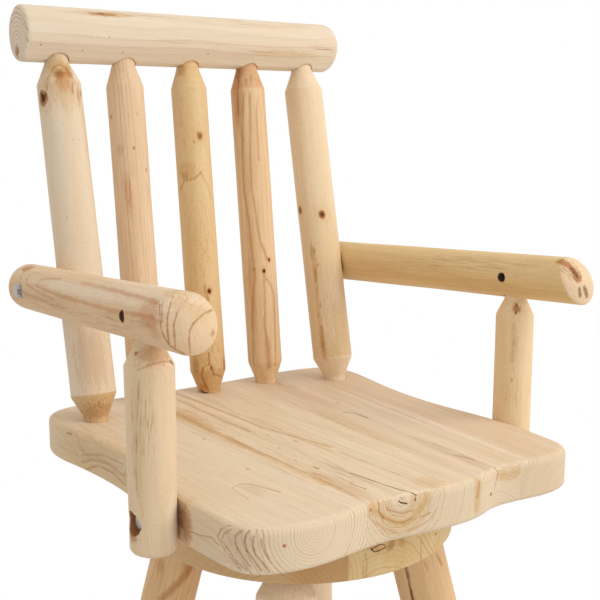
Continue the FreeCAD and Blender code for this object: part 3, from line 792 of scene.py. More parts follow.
SLAT_WOODS = {
    "outer_left": Wood(
        seed=5, ring=4.0, line=0.05, sway=8, ripple=2.0, warm=0.3, fibre=0.08, stripe=0.06, grit=0.2,
        flecks=0.3, dots=0.8, knots=(((-223, 263, 1179), 8.0, 1.0),),
        cuts=(
            ((-196, 196, 797), (0, -0.19, -0.98), 0.7, 0.7, "honey"),
            ((-210, 222, 1063), (0.85, -0.5, 0.058), 2.5, 0.05, "honey"),
        ),
        marks=(
            ((-202, 246, 1192), 34, 25, 0.5, "honey"), ((-219, 259, 1204), 18, 11, 0.45, "honey"),
            ((-205, 178, 850), 60, 28, 0.25, "bark"), ((-200, 262, 1218), 28, 24, 0.7, "honey"),
            ((-203, 253, 1210), 13, 10, 0.5, "bark"), ((-203, 252, 1211), 6, 6, 0.5, "knot"),
            ((-200, 250, 1198), 18, 14, 0.5, "rust"), ((-189, 256, 1214), 18, 6, 0.5, "bark"),
            ((-180, 250, 1185), 26, 7, 0.45, "rust"), ((-177, 246, 1130), 60, 9, 0.35, "honey"),
            ((-196, 246, 1140), 50, 12, 0.2, "rust"), ((-175, 253, 1187), 9, 4, 0.6, "bark"),
            ((-199, 178, 778), 16, 30, 0.3, "bark"),
        ),
        streaks=(((-199, 178, 782), 24, 26, 0.7, "bark"),),
        lines=(
            (
                (
                    (-219, 257, 1190), (-217, 259, 1206), (-208, 262, 1218), (-200, 262, 1223),
                    (-191, 257, 1217), (-188, 249, 1205), (-190, 244, 1186),
                ),
                2.6, 0.5, "bark",
            ),
            (((-212, 258, 1200), (-206, 260, 1213), (-198, 258, 1216), (-193, 252, 1206)), 1.6, 0.4, "bark"),
            (((-198, 264, 1228), (-191, 258, 1219), (-185, 251, 1204), (-181, 247, 1178)), 1.8, 0.5, "bark"),
        ),
    ),
    "inner_left": Wood(
        seed=8, ring=5.0, line=0.34, sway=8, ripple=2.0, warm=0.3, red=0.12, fibre=0.35, stripe=0.1,
        flecks=0.2, dots=0.3, pith=(50, -34),
        marks=(
            ((-124, 273, 1157), 4.5, 2.6, 0.7, "bark"), ((-104, 247, 1115), 3.4, 2.4, 0.7, "bark"),
            ((-87, 246, 1085), 5, 2.4, 0.6, "bark"), ((-96, 251, 1161), 4, 2.2, 0.35, "bark"),
            ((-120, 257, 1112), 11, 7, 0.25, "bark"), ((-114, 247, 1056), 44, 9, 0.3, "rust"),
        ),
        streaks=(((-114, 246, 1058), 34, 6, 0.75, "rust"), ((-88, 245, 1060), 40, 5, 0.4, "rust")),
    ),
    "centre": Wood(
        seed=13, ring=4.0, line=0.12, sway=8, ripple=3.0, warm=0.5, fibre=0.14, stripe=0.08, grit=0.36,
        flecks=0.4, dots=0.5, dash=12, knots=(((-1, 248, 1131), 4.8, 0.45), ((-3, 224, 912), 3.6, 1.0)),
        cuts=(
            ((0, 236, 830), (0, -0.11, -0.99), 30, 0.35, "honey"),
            ((0, 238, 797), (0, -0.11, -0.99), 0.8, 0.2, "bark"),
        ),
        marks=(
            ((-20, 254, 1082), 18, 17, 0.5, "honey"), ((-23, 256, 1073), 9, 9, 0.35, "bark"),
            ((-10, 249, 1123), 3.5, 2.2, 0.5, "bark"), ((-17, 273, 1224), 12, 10, 0.4, "bark"),
            ((-9, 226, 915), 9, 3, 0.5, "bark"), ((-6, 224, 902), 7, 3, 0.5, "bark"),
            ((-25, 231, 806), 20, 8, 0.45, "bark"), ((-8, 213, 802), 4, 3, 0.8, "knot"),
            ((17, 218, 802), 16, 5, 0.7, "bark"), ((-14, 226, 770), 8, 9, 0.6, "rust"),
        ),
        streaks=(
            ((-21, 263, 1150), 50, 8, 0.35, "bark"), ((-8, 231, 950), 130, 22, 0.2, "bark"),
            ((0, 214, 806), 40, 22, 0.4, "bark"),
        ),
        lines=(
            (
                ((-26, 264, 1056), (-23, 256, 1067), (-14, 246, 1071), (-8, 243, 1075), (-3, 243, 1080)),
                2.8, 0.4, "bark",
            ),
            (((-3, 243, 1080), (2, 241, 1069), (7, 241, 1059), (12, 242, 1042)), 3.2, 0.22, "bark"),
            (((-18, 219, 802), (-19, 222, 790), (-15, 222, 780), (-9, 221, 766)), 2.2, 0.75, "bark"),
            (((-16, 232, 766), (-15, 229, 764), (-12, 223, 763), (-9, 221, 764)), 2.4, 0.9, "knot"),
            (((-10, 216, 823), (-10, 215, 808), (-7, 213, 803), (-5, 213, 792)), 2.4, 0.6, "bark"),
            (((-5, 213, 792), (3, 213, 790), (13, 219, 783)), 2.2, 0.5, "bark"),
            (((-15, 217, 805), (-10, 215, 807)), 2.0, 0.5, "bark"),
        ),
    ),
    "inner_right": Wood(
        seed=21, ring=7.0, line=0.25, sway=10, ripple=2.0, warm=0.4, red=0.25, fibre=0.35, flecks=0.15,
        dots=0.2, pith=(50, -34), knots=(((92, 228, 933), 3.0, 1.0), ((102, 228, 949), 2.6, 1.0)),
        cuts=(((99, 281, 1198), (0, 0.11, 0.99), 2.0, 0.35, "rust"),),
        marks=(
            ((74, 272, 1185), 70, 13, 0.45, "rust"), ((80, 278, 1222), 16, 12, 0.55, "bark"),
            ((76, 238, 905), 90, 9, 0.3, "rust"), ((92, 216, 810), 40, 8, 0.3, "rust"),
        ),
        lines=(
            (((83, 279, 1225), (77, 272, 1205), (75, 269, 1161)), 2.6, 0.6, "bark"),
            (
                (
                    (87, 265, 1212), (79, 262, 1168), (76, 260, 1110), (75, 255, 1052), (78, 245, 1001),
                    (80, 236, 935),
                ),
                3.4, 0.42, "bark",
            ),
            (
                ((80, 236, 935), (80, 234, 922), (76, 235, 882), (75, 234, 845), (75, 230, 792)),
                3.4, 0.42, "bark",
            ),
            (
                (
                    (95, 264, 1218), (88, 256, 1183), (84, 250, 1103), (83, 245, 1052), (89, 233, 979),
                    (98, 228, 950),
                ),
                3.0, 0.4, "bark",
            ),
            (((106, 262, 1212), (97, 252, 1168), (95, 244, 1096)), 3.2, 0.3, "bark"),
            (
                ((92, 227, 926), (90, 222, 875), (88, 220, 853), (91, 216, 823), (92, 214, 789)),
                3.2, 0.4, "bark",
            ),
            (
                ((96, 225, 921), (102, 224, 911), (107, 224, 896), (105, 217, 844), (101, 213, 791)),
                3.2, 0.4, "bark",
            ),
        ),
    ),
    "outer_right": Wood(
        seed=34, ring=4.6, line=0.12, sway=9, ripple=3.0, warm=0.4, fibre=0.14, stripe=0.08, grit=0.34,
        flecks=0.3, dots=0.5, dash=9, knots=(((186, 210, 1014), 5.2, 0.85), ((167, 242, 1019), 4.6, 0.6)),
        cuts=(
            ((196, 230, 980), (0, -0.19, -0.98), 110, 0.4, "honey"),
            ((196, 196, 797), (0, -0.19, -0.98), 0.7, 0.5, "pale"),
            ((196, 275, 1200), (0, 0.19, 0.98), 0.7, 0.3, "pale"),
        ),
        marks=(
            # the two pale patches on the slat's lower half: paler wood in part, and painted light that lifts
            # the shaded left side
            ((178, 188, 862), 70, 18, 0.35, "pale"), ((194, 186, 900), 34, 16, 0.35, "pale"),
            ((170, 214, 958), 14, 5, 0.35, "bark"), ((170, 184, 812), 30, 6, 0.25, "bark"),
            ((190, 182, 850), 50, 6, 0.35, "honey"),
        ),
        streaks=(
            ((171, 209, 945), 40, 7, 0.7, "bark"), ((170, 198, 880), 46, 7, 0.6, "bark"),
            ((170, 186, 820), 34, 8, 0.7, "bark"), ((184, 188, 870), 90, 16, 0.15, "bark"),
        ),
        lines=(
            (((171, 210, 945), (170, 200, 890), (170, 195, 863)), 5.0, 0.4, "honey"),
            (((170, 195, 863), (170, 187, 823), (170, 180, 798)), 5.5, 0.4, "honey"),
            (((170, 207, 932), (170, 204, 914)), 3.0, 0.45, "bark"),
            (((170, 190, 846), (170, 183, 811)), 3.0, 0.45, "bark"),
        ),
    ),
}


class SlatsOperator(bpy.types.Operator):
    """The five back slats, each with its own grain and knots"""

    bl_idname = "stool.back_slats"
    bl_label = "Back slats"

    def execute(self, context):
        dressed_logs("back_slat_", "slat_", SLAT_WOODS)
        return {"FINISHED"}


ARM_WOODS = {
    "left": Wood(
        seed=41, ring=5.0, line=0.16, sway=6, ripple=2.0, warm=0.25, fibre=0.3, stripe=0.12, grit=0.3,
        flecks=0.2, grey=1.0, end_tone=(1.0, 1.0, 1.0), end_from=0.25, end_line=-0.1, dots=0.2, dash=40,
        # painted shade: the wall and floor of the cross-bolt hole are painted dark
        pith=(20, 0), holes=(((-293, -113, 956), (-1, 0, 0), 7, 0.9, "knot"),),
        cuts=(
            ((-268, 0, 978), (-0.3, 0, 1), 10, 0.45, "pale"),
            ((-285, 0, 945), (-0.5, 0, -1), 14, 0.25, "honey"),
        ),
        marks=(
            ((-266, -192, 988), 24, 22, 0.45, "honey"), ((-276, -207, 981), 12, 14, 0.4, "honey"),
            ((-262, -216, 974), 10, 14, 0.35, "honey"), ((-282, 20, 965), 190, 10, 0.45, "pale"),
            ((-262, 240, 964), 24, 10, 0.6, "bark"), ((-294, -176, 968), 34, 18, 0.4, "rust"),
            ((-294, -190, 956), 18, 14, 0.35, "rust"), ((-249, -218, 952), 5, 5, 0.5, "bark"),
        ),
        streaks=(((-285, 60, 932), 180, 14, 0.4, "bark"), ((-292, -120, 945), 90, 12, 0.4, "bark")),
        lines=(
            (((-277, 28, 973), (-281, -65, 977), (-285, -130, 979), (-289, -186, 980)), 4.5, 0.5, "rust"),
            (((-286, 55, 953), (-290, -28, 956), (-293, -90, 959), (-296, -190, 967)), 4.0, 0.5, "rust"),
            (((-274, 95, 968), (-276, 155, 960), (-280, 158, 951), (-286, 55, 952)), 3.4, 0.3, "bark"),
            (((-270, 190, 966), (-275, 205, 957), (-279, 195, 948), (-285, 90, 944)), 3.0, 0.3, "bark"),
            (((-266, 232, 962), (-273, 232, 954), (-280, 205, 937), (-286, 60, 938)), 3.0, 0.3, "bark"),
            (((-290, -192, 980), (-296, -203, 970), (-297, -208, 958), (-292, -212, 946)), 1.5, 0.7, "bark"),
            (((-292, -212, 946), (-287, -214, 941), (-278, -216, 936)), 1.5, 0.6, "bark"),
            (((-287, -193, 983), (-293, -201, 976), (-295, -207, 966)), 1.2, 0.55, "bark"),
            (
                ((-281, -200, 987), (-287, -206, 979), (-291, -209, 971), (-293, -212, 959)),
                1.4, 0.65, "bark",
            ),
            (((-293, -212, 959), (-292, -213, 947)), 1.4, 0.65, "bark"),
            (((-269, -208, 985), (-277, -211, 981), (-283, -213, 974), (-288, -215, 963)), 1.5, 0.6, "bark"),
            (((-288, -215, 963), (-288, -216, 955), (-287, -215, 943)), 1.5, 0.6, "bark"),
            (((-244, -209, 972), (-256, -217, 972), (-265, -220, 968), (-271, -221, 964)), 1.7, 0.6, "bark"),
            (((-271, -221, 964), (-275, -221, 958), (-276, -221, 949), (-273, -218, 936)), 1.5, 0.6, "bark"),
        ),
    ),
    "right": Wood(
        seed=55, ring=5.0, line=0.2, sway=12, ripple=3.0, warm=0.5, fibre=0.3, flecks=0.25, grey=1.0,
        end_tone=(1.02, 1.03, 1.25), end_from=0.3, dots=0.3, dash=40,
        # painted shade: the wall and floor of the cross-bolt hole are painted dark
        holes=(((240, -113, 952), (-1, 0, 0), 7, 0.9, "knot"),),
        streaks=(((240, -80, 966), 150, 12, 0.3, "bark"), ((240, 40, 950), 130, 16, 0.3, "bark")),
        lines=(
            (((252, -194, 981), (256, -206, 975), (257, -213, 968), (258, -218, 961)), 8.0, 0.8, "bark"),
            (((256, -208, 973), (258, -217, 963)), 3.6, 0.6, "knot"),
            (((247, -203, 974), (249, -211, 968), (252, -216, 962), (257, -219, 957)), 1.7, 0.55, "bark"),
            (((243, -200, 973), (246, -210, 967), (249, -216, 959)), 1.5, 0.4, "bark"),
            (((264, -203, 979), (265, -214, 969), (263, -219, 961)), 1.8, 0.55, "bark"),
            (((257, -221, 949), (258, -222, 940)), 3.6, 0.65, "knot"),
            (((266, -222, 949), (270, -223, 939)), 4.8, 0.65, "knot"),
        ),
    ),
}


class ArmsOperator(bpy.types.Operator):
    """The two arm logs with domed front ends"""

    bl_idname = "stool.arms"
    bl_label = "Arms"

    def execute(self, context):
        dressed_logs("arm_", "arm_", ARM_WOODS)
        return {"FINISHED"}


POST_WOODS = {
    "left": Wood(
        seed=60, ring=5.0, line=0.08, sway=8, ripple=2.5, warm=0.3, fibre=0.12, stripe=0.08, grit=0.2,
        flecks=0.35, dots=0.4, dash=26,
        marks=(
            # painted light: the pale patch low on the post's right side lifts its shade; painted shadow: the
            # dark patch at the top of the post, under the arm
            ((-254, -136, 735), 42, 14, 0.6, "pale"), ((-265, -130, 918), 14, 24, 0.38, "bark"),
            ((-250, -126, 917), 8, 8, 0.5, "honey"), ((-286, -127, 830), 100, 9, 0.35, "honey"),
            ((-281, -119, 919), 3.2, 3.2, 0.8, "bark"), ((-288, -116, 727), 8, 9, 0.6, "bark"),
            ((-247, -131, 908), 4, 4, 0.6, "knot"),
        ),
        streaks=(
            ((-288, -123, 835), 80, 6, 0.5, "bark"), ((-283, -130, 850), 70, 6, 0.45, "bark"),
            ((-276, -136, 850), 48, 7, 0.4, "bark"),
        ),
        # painted shade: the wall and floor of the lag screw counterbore are painted dark
        holes=(((-290, -113, 740), (-1, 0, 0), 13.5, 0.85, "bark"),),
        lines=(
            (
                ((-284, -129, 904), (-274, -135, 909), (-263, -136, 911), (-247, -131, 908)),
                1.8, 0.45, "bark",
            ),
        ),
    ),
    "right": Wood(
        seed=77, ring=4.2, line=0.1, sway=8, ripple=3.0, warm=0.3, fibre=0.14, stripe=0.08, grit=0.24,
        flecks=0.35, dots=0.5,
        marks=(
            ((251, -127, 912), 11, 7, 0.8, "bark"), ((253, -125, 915), 5, 3, 0.6, "knot"),
            ((248, -129, 907), 4, 2.4, 0.6, "knot"), ((246, -130, 866), 5, 2.0, 0.4, "bark"),
            ((245, -129, 818), 5, 2.0, 0.4, "bark"),
        ),
        streaks=(((247, -131, 855), 50, 7, 0.3, "bark"), ((246, -130, 800), 40, 14, 0.25, "bark")),
        lines=((((245, -129, 891), (245, -129, 845)), 5.0, 0.4, "honey"),),
    ),
}


class PostsOperator(bpy.types.Operator):
    """The two posts that carry the arms"""

    bl_idname = "stool.arm_posts"
    bl_label = "Arm posts"

    def execute(self, context):
        dressed_logs("arm_post_", "post_", POST_WOODS)
        return {"FINISHED"}


SEAT_PITHS = {
    "left": ((-163, -256, 752), -0.06),
    "middle_left": ((-49, -256, 757), -0.02),
    "middle_right": ((96, -256, 690), 0.03),
    "right": ((215, -256, 700), 0.07),
}
SEAT_WOODS = {
    "left": Wood(
        seed=101, ring=2.6, spread=0.035, line=0.16, line_far=0.25, top_line=0.3, even=0.3, sway=4,
        ripple=1.2, warm=0.15, fibre=0.28, stripe=0.16, grit=0.22, flecks=0.35, grey=0.6,
        end_tone=(0.97, 0.95, 0.92), late=0.5, end_from=0.35, end_line=0.45, dots=0.1, dash=70,
        cuts=(((-232, 0, 745), (-1, 0, 0), 5, 0.3, "skin"),),
        marks=(
            ((-236, 90, 735), 150, 50, 0.65, "skin"), ((-229, -230, 742), 26, 24, 0.12, "bark"),
            # the dark patches on the plank's side beside the left arm post: partly a real stain, partly
            # painted shade where the post meets the seat
            ((-241, -140, 738), 20, 26, 0.7, "bark"), ((-239, -126, 738), 9, 22, 0.2, "knot"),
            ((-135, -91, 762), 5, 2.0, 0.6, "bark"), ((-121, 34, 762), 5, 2.0, 0.6, "bark"),
            ((-165, -150, 762), 26, 14, 0.25, "honey"), ((-195, -256, 744), 6, 2.6, 0.9, "bark"),
            ((-110, 110, 762), 130, 14, 0.3, "honey"),
        ),
        streaks=(
            ((-112, 60, 762), 170, 9, 0.5, "bark"), ((-106, -120, 762), 120, 5, 0.5, "bark"),
            ((-238, 60, 740), 160, 14, 0.45, "bark"),
        ),
        lines=(
            (((-165, -129, 762), (-158, -134, 762), (-150, -157, 762), (-145, -172, 762)), 1.3, 0.7, "bark"),
            (
                ((-165, -129, 762), (-175, -129, 762), (-182, -136, 762), (-183, -170, 762)),
                1.2, 0.35, "bark",
            ),
            (
                ((-232, -216, 760), (-236, -205, 753), (-237, -200, 744), (-235, -211, 734)),
                1.6, 0.55, "bark",
            ),
            (((-235, -211, 734), (-233, -222, 727), (-230, -231, 720)), 1.6, 0.5, "bark"),
            (((-233, -220, 758), (-236, -210, 750), (-236, -206, 743), (-235, -213, 738)), 1.6, 0.5, "bark"),
            (((-235, -213, 738), (-231, -228, 726), (-226, -237, 720)), 1.6, 0.5, "bark"),
            (((-228, -231, 759), (-232, -226, 753), (-232, -225, 747), (-231, -228, 740)), 2.2, 0.5, "bark"),
            (((-231, -228, 740), (-228, -234, 732), (-224, -239, 725)), 1.8, 0.5, "bark"),
            (
                ((-223, -237, 760), (-227, -236, 755), (-227, -235, 749), (-226, -237, 740)),
                1.6, 0.65, "bark",
            ),
            (((-226, -237, 740), (-221, -242, 731), (-216, -246, 721)), 1.6, 0.6, "bark"),
            (
                ((-217, -241, 760), (-222, -242, 754), (-222, -241, 747), (-221, -243, 738)),
                1.6, 0.65, "bark",
            ),
            (((-221, -243, 738), (-215, -247, 729), (-209, -250, 719)), 1.6, 0.65, "bark"),
            (((-213, -244, 760), (-216, -246, 752), (-215, -247, 744), (-208, -251, 728)), 1.5, 0.5, "bark"),
            (((-241, -151, 734), (-240, -170, 736), (-238, -190, 740), (-237, -202, 736)), 1.6, 0.4, "bark"),
            (((-243, 174, 756), (-241, 163, 756)), 2.0, 0.6, "bark"),
            (((-238, 140, 735), (-232, 93, 747), (-230, 35, 751)), 2.4, 0.35, "bark"),
            (((-238, 141, 725), (-234, 114, 735), (-231, 76, 740), (-230, 30, 737)), 2.4, 0.4, "bark"),
            (((-236, 132, 718), (-233, 104, 730), (-230, 65, 732), (-230, 28, 727)), 2.4, 0.4, "bark"),
        ),
    ),
    "middle_left": Wood(
        seed=113, ring=2.8, spread=0.01, line=0.3, line_far=-0.35, top_line=0.55, sway=7, ripple=5.0,
        warm=0.3, fibre=0.42, stripe=0.3, grit=0.18, flecks=0.15, grey=0.8, end_tone=(0.93, 0.93, 0.9),
        late=0.4, end_line=0.6, dots=0.1, dash=70, bands=((12, 38, 0.3, "honey"),),
        marks=(
            ((-32, -37, 762), 5, 2.2, 0.8, "bark"), ((-47, 3, 762), 4, 1.8, 0.6, "bark"),
            ((-64, -48, 762), 4, 1.8, 0.6, "bark"), ((-73, -96, 762), 4, 1.8, 0.6, "bark"),
            ((-69, -132, 762), 7, 2.0, 0.8, "bark"), ((4, -240, 762), 24, 20, 0.35, "honey"),
            ((-90, 130, 762), 140, 22, 0.35, "honey"), ((-80, -190, 762), 80, 16, 0.3, "honey"),
            ((-86, -254, 757), 8, 10, 0.5, "honey"), ((-89, -254, 756), 5, 3, 0.6, "bark"),
        ),
        streaks=(
            ((-92, 130, 762), 130, 18, 0.6, "bark"), ((-96, -30, 762), 140, 7, 0.6, "bark"),
            ((-84, -190, 762), 80, 14, 0.5, "bark"), ((-60, 120, 762), 130, 12, 0.45, "bark"),
            ((-25, 40, 762), 200, 10, 0.4, "bark"), ((-10, -180, 762), 90, 6, 0.5, "bark"),
            ((-55, -160, 762), 60, 18, 0.6, "bark"),
        ),
        lines=(
            (((-99, 220, 762), (-97, 60, 762), (-93, -60, 762), (-91, -180, 762)), 9.0, 0.45, "honey"),
            (((-99, 220, 762), (-97, 60, 762), (-94, -60, 762)), 1.6, 0.55, "bark"),
            (((-93, 200, 762), (-93, 60, 762), (-90, -90, 762), (-86, -200, 762)), 1.5, 0.5, "bark"),
            (((-13, -102, 762), (-11, -156, 762), (-7, -204, 762)), 1.6, 0.4, "bark"),
            (((-47, 248, 762), (-42, 189, 762), (-35, 34, 762), (-11, -79, 762)), 7.0, 0.3, "honey"),
            (((-47, 248, 762), (-42, 189, 762), (-35, 34, 762), (-11, -79, 762)), 1.8, 0.45, "bark"),
            (((-62, 215, 762), (-61, 111, 762), (-59, 27, 762)), 2.2, 0.45, "bark"),
            (((-48, -167, 762), (-44, -197, 762), (-37, -240, 762), (-32, -252, 761)), 1.3, 0.85, "crack"),
            (((-32, -252, 761), (-29, -255, 759), (-32, -257, 755)), 1.5, 0.95, "crack"),
            (((-51, -254, 757), (-48, -255, 755), (-42, -256, 753)), 1.5, 0.95, "crack"),
            (((-48, -252, 760), (-46, -254, 758)), 1.3, 0.85, "crack"),
            (((-68, -192, 762), (-68, -203, 762), (-65, -217, 762)), 1.3, 0.7, "crack"),
            (((-80, -254, 752), (-66, -254, 741), (-55, -255, 734), (-45, -256, 732)), 5.5, 0.55, "honey"),
            (((-45, -256, 732), (-35, -257, 734), (-30, -257, 739), (-24, -258, 745)), 5.5, 0.55, "honey"),
            (((-24, -258, 745), (-18, -259, 750), (-16, -258, 759)), 6.0, 0.5, "honey"),
            (((-76, -249, 761), (-77, -253, 758), (-78, -254, 752), (-72, -254, 744)), 1.7, 0.65, "bark"),
            (((-72, -254, 744), (-55, -255, 735), (-45, -256, 733), (-35, -257, 736)), 2.0, 0.45, "bark"),
            (((-24, -258, 735), (-16, -259, 736), (-12, -259, 738)), 1.4, 0.6, "bark"),
            (((-69, -250, 761), (-69, -253, 757), (-66, -254, 751)), 1.3, 0.45, "bark"),
            (((-66, -254, 751), (-57, -255, 747), (-48, -255, 744), (-33, -257, 744)), 1.6, 0.4, "bark"),
            (((-93, -255, 751), (-83, -254, 741), (-69, -254, 731), (-55, -255, 724)), 2.2, 0.35, "rust"),
            (((-40, -256, 722), (-25, -258, 725), (-12, -259, 730), (-5, -260, 739)), 2.2, 0.35, "rust"),
        ),
    ),
    "middle_right": Wood(
        seed=127, ring=4.0, line=0.25, top_line=0.7, sway=9, ripple=2.0, warm=0.3, fibre=0.28, stripe=0.25,
        grit=0.14, flecks=0.15, grey=0.8, end_tone=(0.93, 0.93, 0.9), even=0.2, late=0.5, end_line=0.2,
        dots=0.1, dash=70,
        marks=(
            ((104, -249, 752), 14, 9, 0.5, "honey"), ((115, 73, 762), 4, 2.0, 0.6, "bark"),
            ((108, 209, 762), 5, 2.4, 0.6, "bark"), ((86, -252, 735), 4, 2.6, 0.9, "knot"),
            ((100, 150, 762), 140, 16, 0.25, "rust"), ((150, -60, 762), 240, 9, 0.5, "pale"),
            ((60, -80, 762), 180, 12, 0.25, "honey"),
        ),
        streaks=(((50, 0, 762), 200, 14, 0.4, "bark"), ((95, -160, 762), 80, 10, 0.5, "bark")),
        lines=(
            (((94, 33, 762), (102, 21, 762), (103, 8, 762), (103, -9, 762)), 1.5, 0.85, "crack"),
            (((91, -187, 762), (98, -214, 762)), 1.0, 0.6, "crack"),
            (((97, -244, 762), (99, -249, 757), (93, -251, 738)), 1.2, 0.5, "crack"),
            (((57, -260, 758), (55, -261, 728)), 10.0, 0.6, "honey"),
            (((59, -260, 756), (56, -261, 740)), 3.2, 0.4, "bark"),
            (((113, -248, 750), (131, -249, 752)), 10.0, 0.55, "honey"),
        ),
    ),
    "right": Wood(
        seed=139, ring=4.0, line=0.25, top_line=0.8, sway=8, ripple=1.6, warm=0.35, fibre=0.2, stripe=0.2,
        grit=0.14, flecks=0.1, grey=0.8, end_tone=(0.93, 0.93, 0.9), late=0.5, end_line=0.2, dots=0.1,
        marks=(((160, -60, 762), 260, 10, 0.5, "pale"),),
    ),
}


class SeatOperator(bpy.types.Operator):
    """The four seat planks, each cut from its own log"""

    bl_idname = "stool.seat_planks"
    bl_label = "Seat planks"

    def execute(self, context):
        for name, wood in SEAT_WOODS.items():
            place, slope = SEAT_PITHS[name]
            grain = grain_along(Vector(place) * MM, Vector((slope, 1, 0)))
            material = wood_material("seat_" + name + "_wood", "seat_" + name + "_wood", grain, wood)
            coated("seat_plank_" + name, material)
        return {"FINISHED"}


BASE_WOODS = {
    "left": Wood(
        seed=151, ring=6.0, line=0.3, sway=9, warm=0.5, flecks=0.2, pith=(0, 40), grey=0.0,
        cuts=(
            ((-62, -183, 660), (-1, 0, 0), 2, 0.5, "bark"), ((-118, -158, 660), (-1, 0, 0), 16, 0.7, "skin"),
        ),
    ),
    "middle": Wood(
        seed=163, ring=6.0, line=0.45, sway=9, warm=0.6, stripe=0.3, grit=0.35, flecks=0.2, pith=(0, 60),
        grey=0.0,
        marks=(
            ((-28, -192, 677), 20, 7, 0.4, "rust"), ((-10, -194, 678), 20, 9, 0.6, "bark"),
            ((6, -194, 678), 20, 9, 0.4, "bark"), ((70, -181, 667), 20, 2.4, 0.8, "knot"),
            ((20, -194, 660), 30, 22, 0.25, "honey"),
        ),
        lines=(
            (((-36, -191, 678), (-32, -191, 674), (-26, -192, 674), (-19, -193, 676)), 1.4, 0.9, "knot"),
            (((-19, -193, 676), (-17, -193, 679), (-25, -192, 681), (-36, -191, 678)), 1.3, 0.8, "knot"),
            (((-43, -189, 674), (-41, -190, 662), (-42, -189, 646)), 1.3, 0.45, "bark"),
            (((-48, -188, 673), (-45, -189, 660), (-45, -189, 646)), 1.2, 0.35, "bark"),
            (((38, -190, 676), (39, -190, 660), (38, -190, 644)), 1.4, 0.5, "bark"),
        ),
    ),
    "right": Wood(seed=179, ring=6.0, line=0.3, sway=9, warm=0.5, flecks=0.2, pith=(0, 40), grey=0.0),
}


class BaseOperator(bpy.types.Operator):
    """The round base top of three planks"""

    bl_idname = "stool.base_top"
    bl_label = "Base top"

    def execute(self, context):
        for name, wood in BASE_WOODS.items():
            node = "base_plank_" + name
            low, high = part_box(node)
            grain = grain_along((low + high) / 2, Vector((BASE_SLOPE, 1, 0)))
            coated(node, wood_material(node + "_wood", "base_wood", grain, wood))
        return {"FINISHED"}


LEG_WOODS = {
    "back_left": Wood(
        seed=191, ring=6.0, line=0.3, sway=18, warm=0.5, fibre=0.6, flecks=0.3, pith=(50, -34),
        marks=(((-127, 66, 590), 22, 9, 0.4, "rust"), ((-160, 88, 585), 16, 10, 0.3, "bark")),
        lines=(
            (((-112, 64, 600), (-132, 68, 572), (-146, 74, 557), (-160, 84, 542)), 8.0, 0.55, "bark"),
            (((-118, 68, 565), (-126, 72, 546)), 3.0, 0.4, "bark"),
        ),
    ),
    "front_left": Wood(
        seed=203, ring=5.0, line=0.15, sway=10, warm=0.1, fibre=0.35, flecks=0.3,
        cuts=(((0, 0, 0), (0, 0, 1), 1, 0.65, "pale"),),
    ),
    "front_right": Wood(
        seed=217, ring=5.0, line=0.2, sway=10, warm=0.5, fibre=0.4, flecks=0.3,
        cuts=(((0, 0, 0), (0, 0, 1), 1, 0.2, "skin"),),
        lines=(
            (((84, -112, 596), (89, -115, 568), (95, -119, 540)), 3.4, 0.85, "crack"),
            (((119, -132, 611), (126, -133, 596)), 2.6, 0.6, "bark"),
            (((101, -129, 604), (104, -131, 594)), 2.2, 0.5, "bark"),
        ),
    ),
    "back_right": Wood(
        seed=229, ring=5.0, line=0.25, sway=12, warm=0.4, flecks=0.3,
        cuts=(((0, 0, 0), (0, 0, 1), 1, 0.5, "pale"),),
    ),
}


class LegsOperator(bpy.types.Operator):
    """The four splayed legs"""

    bl_idname = "stool.legs"
    bl_label = "Legs"

    def execute(self, context):
        for name, wood in LEG_WOODS.items():
            dressed_log("leg_" + name, "leg_wood", wood, context.scene.stool_logs.coarse_grid, 0)
        return {"FINISHED"}


class RungsOperator(bpy.types.Operator):
    """The four foot rungs"""

    bl_idname = "stool.foot_rungs"
    bl_label = "Foot rungs"

    seeds = {"front": 241, "back": 251, "left": 263, "right": 277}

    def execute(self, context):
        for name, seed in self.seeds.items():
            wood = Wood(seed=seed, ring=5.0, line=0.3, sway=14, warm=0.5, flecks=0.3)
            dressed_log("foot_rung_" + name, "rung_wood", wood, context.scene.stool_logs.coarse_grid, 0)
        return {"FINISHED"}


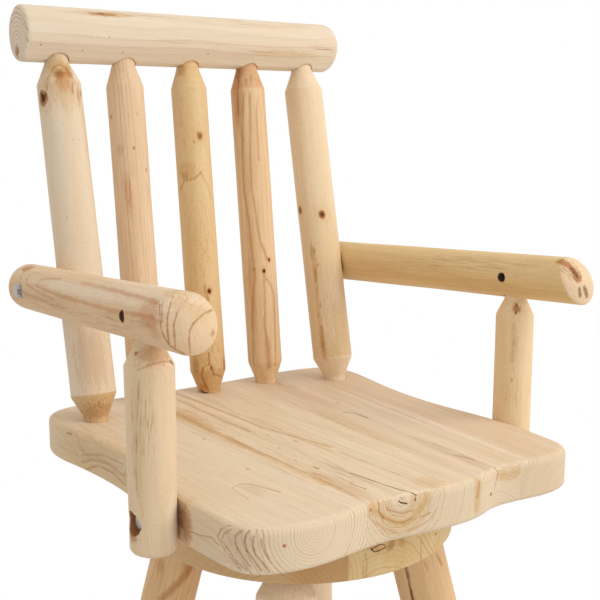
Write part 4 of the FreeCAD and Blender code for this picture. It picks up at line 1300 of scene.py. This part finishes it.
class SteelOperator(bpy.types.Operator):
    """Zinc plated fastenings and the swivel"""

    bl_idname = "stool.steel"
    bl_label = "Steel"

    sunk = ("tenon_cross_bolts", "tenon_cross_nuts", "post_lag_washers")

    def execute(self, context):
        finishes = {
            "zinc_steel": steel_material("zinc_plated_steel", "zinc_steel", 1.0, 0.38),
            "swivel_steel": steel_material("swivel_plate_steel", "swivel_steel", 1.0, 0.42),
        }
        # painted shade: the cross bolts, their nuts and the post lag washers, sunk in their holes, get a
        # nearly black steel that stands for the shade in the holes
        sunk_steel_shade = steel_material("blackened_steel", "zinc_steel", 0.12, 0.6)
        for piece in frame["record"]["subparts"]:
            if piece["node"] in self.sunk:
                coated(piece["node"], sunk_steel_shade)
            elif piece["material_slot"] in finishes:
                coated(piece["node"], finishes[piece["material_slot"]])
        return {"FINISHED"}


class StoolPanel(bpy.types.Panel):
    """Lists the pieces of the stool"""

    bl_idname = "VIEW3D_PT_stool"
    bl_label = "Log bar stool"
    bl_space_type = "VIEW_3D"
    bl_region_type = "UI"
    bl_category = "Stool"

    def draw(self, context):
        for operator in OPERATORS:
            self.layout.operator(operator.bl_idname)
        for settings in (context.scene.stool_colours, context.scene.stool_logs, context.scene.stool_stage):
            box = self.layout.box()
            for name in settings.bl_rna.properties.keys():
                if name not in ("rna_type", "name"):
                    box.prop(settings, name)


OPERATORS = (
    StageOperator,
    RailOperator,
    SlatsOperator,
    ArmsOperator,
    PostsOperator,
    SeatOperator,
    BaseOperator,
    LegsOperator,
    RungsOperator,
    SteelOperator,
)
CLASSES = (WoodColours, LogShape, StageSetup, *OPERATORS, StoolPanel)


def register():
    for item in CLASSES:
        bpy.utils.register_class(item)
    bpy.types.Scene.stool_colours = bpy.props.PointerProperty(type=WoodColours)
    bpy.types.Scene.stool_logs = bpy.props.PointerProperty(type=LogShape)
    bpy.types.Scene.stool_stage = bpy.props.PointerProperty(type=StageSetup)


def unregister():
    del bpy.types.Scene.stool_stage
    del bpy.types.Scene.stool_logs
    del bpy.types.Scene.stool_colours
    for item in reversed(CLASSES):
        bpy.utils.unregister_class(item)


def main():
    register()
    bpy.ops.stool.stage()
    bpy.ops.stool.back_rail()
    bpy.ops.stool.back_slats()
    bpy.ops.stool.arms()
    bpy.ops.stool.arm_posts()
    bpy.ops.stool.seat_planks()
    bpy.ops.stool.base_top()
    bpy.ops.stool.legs()
    bpy.ops.stool.foot_rungs()
    bpy.ops.stool.steel()


if __name__ == "__main__":
    main()
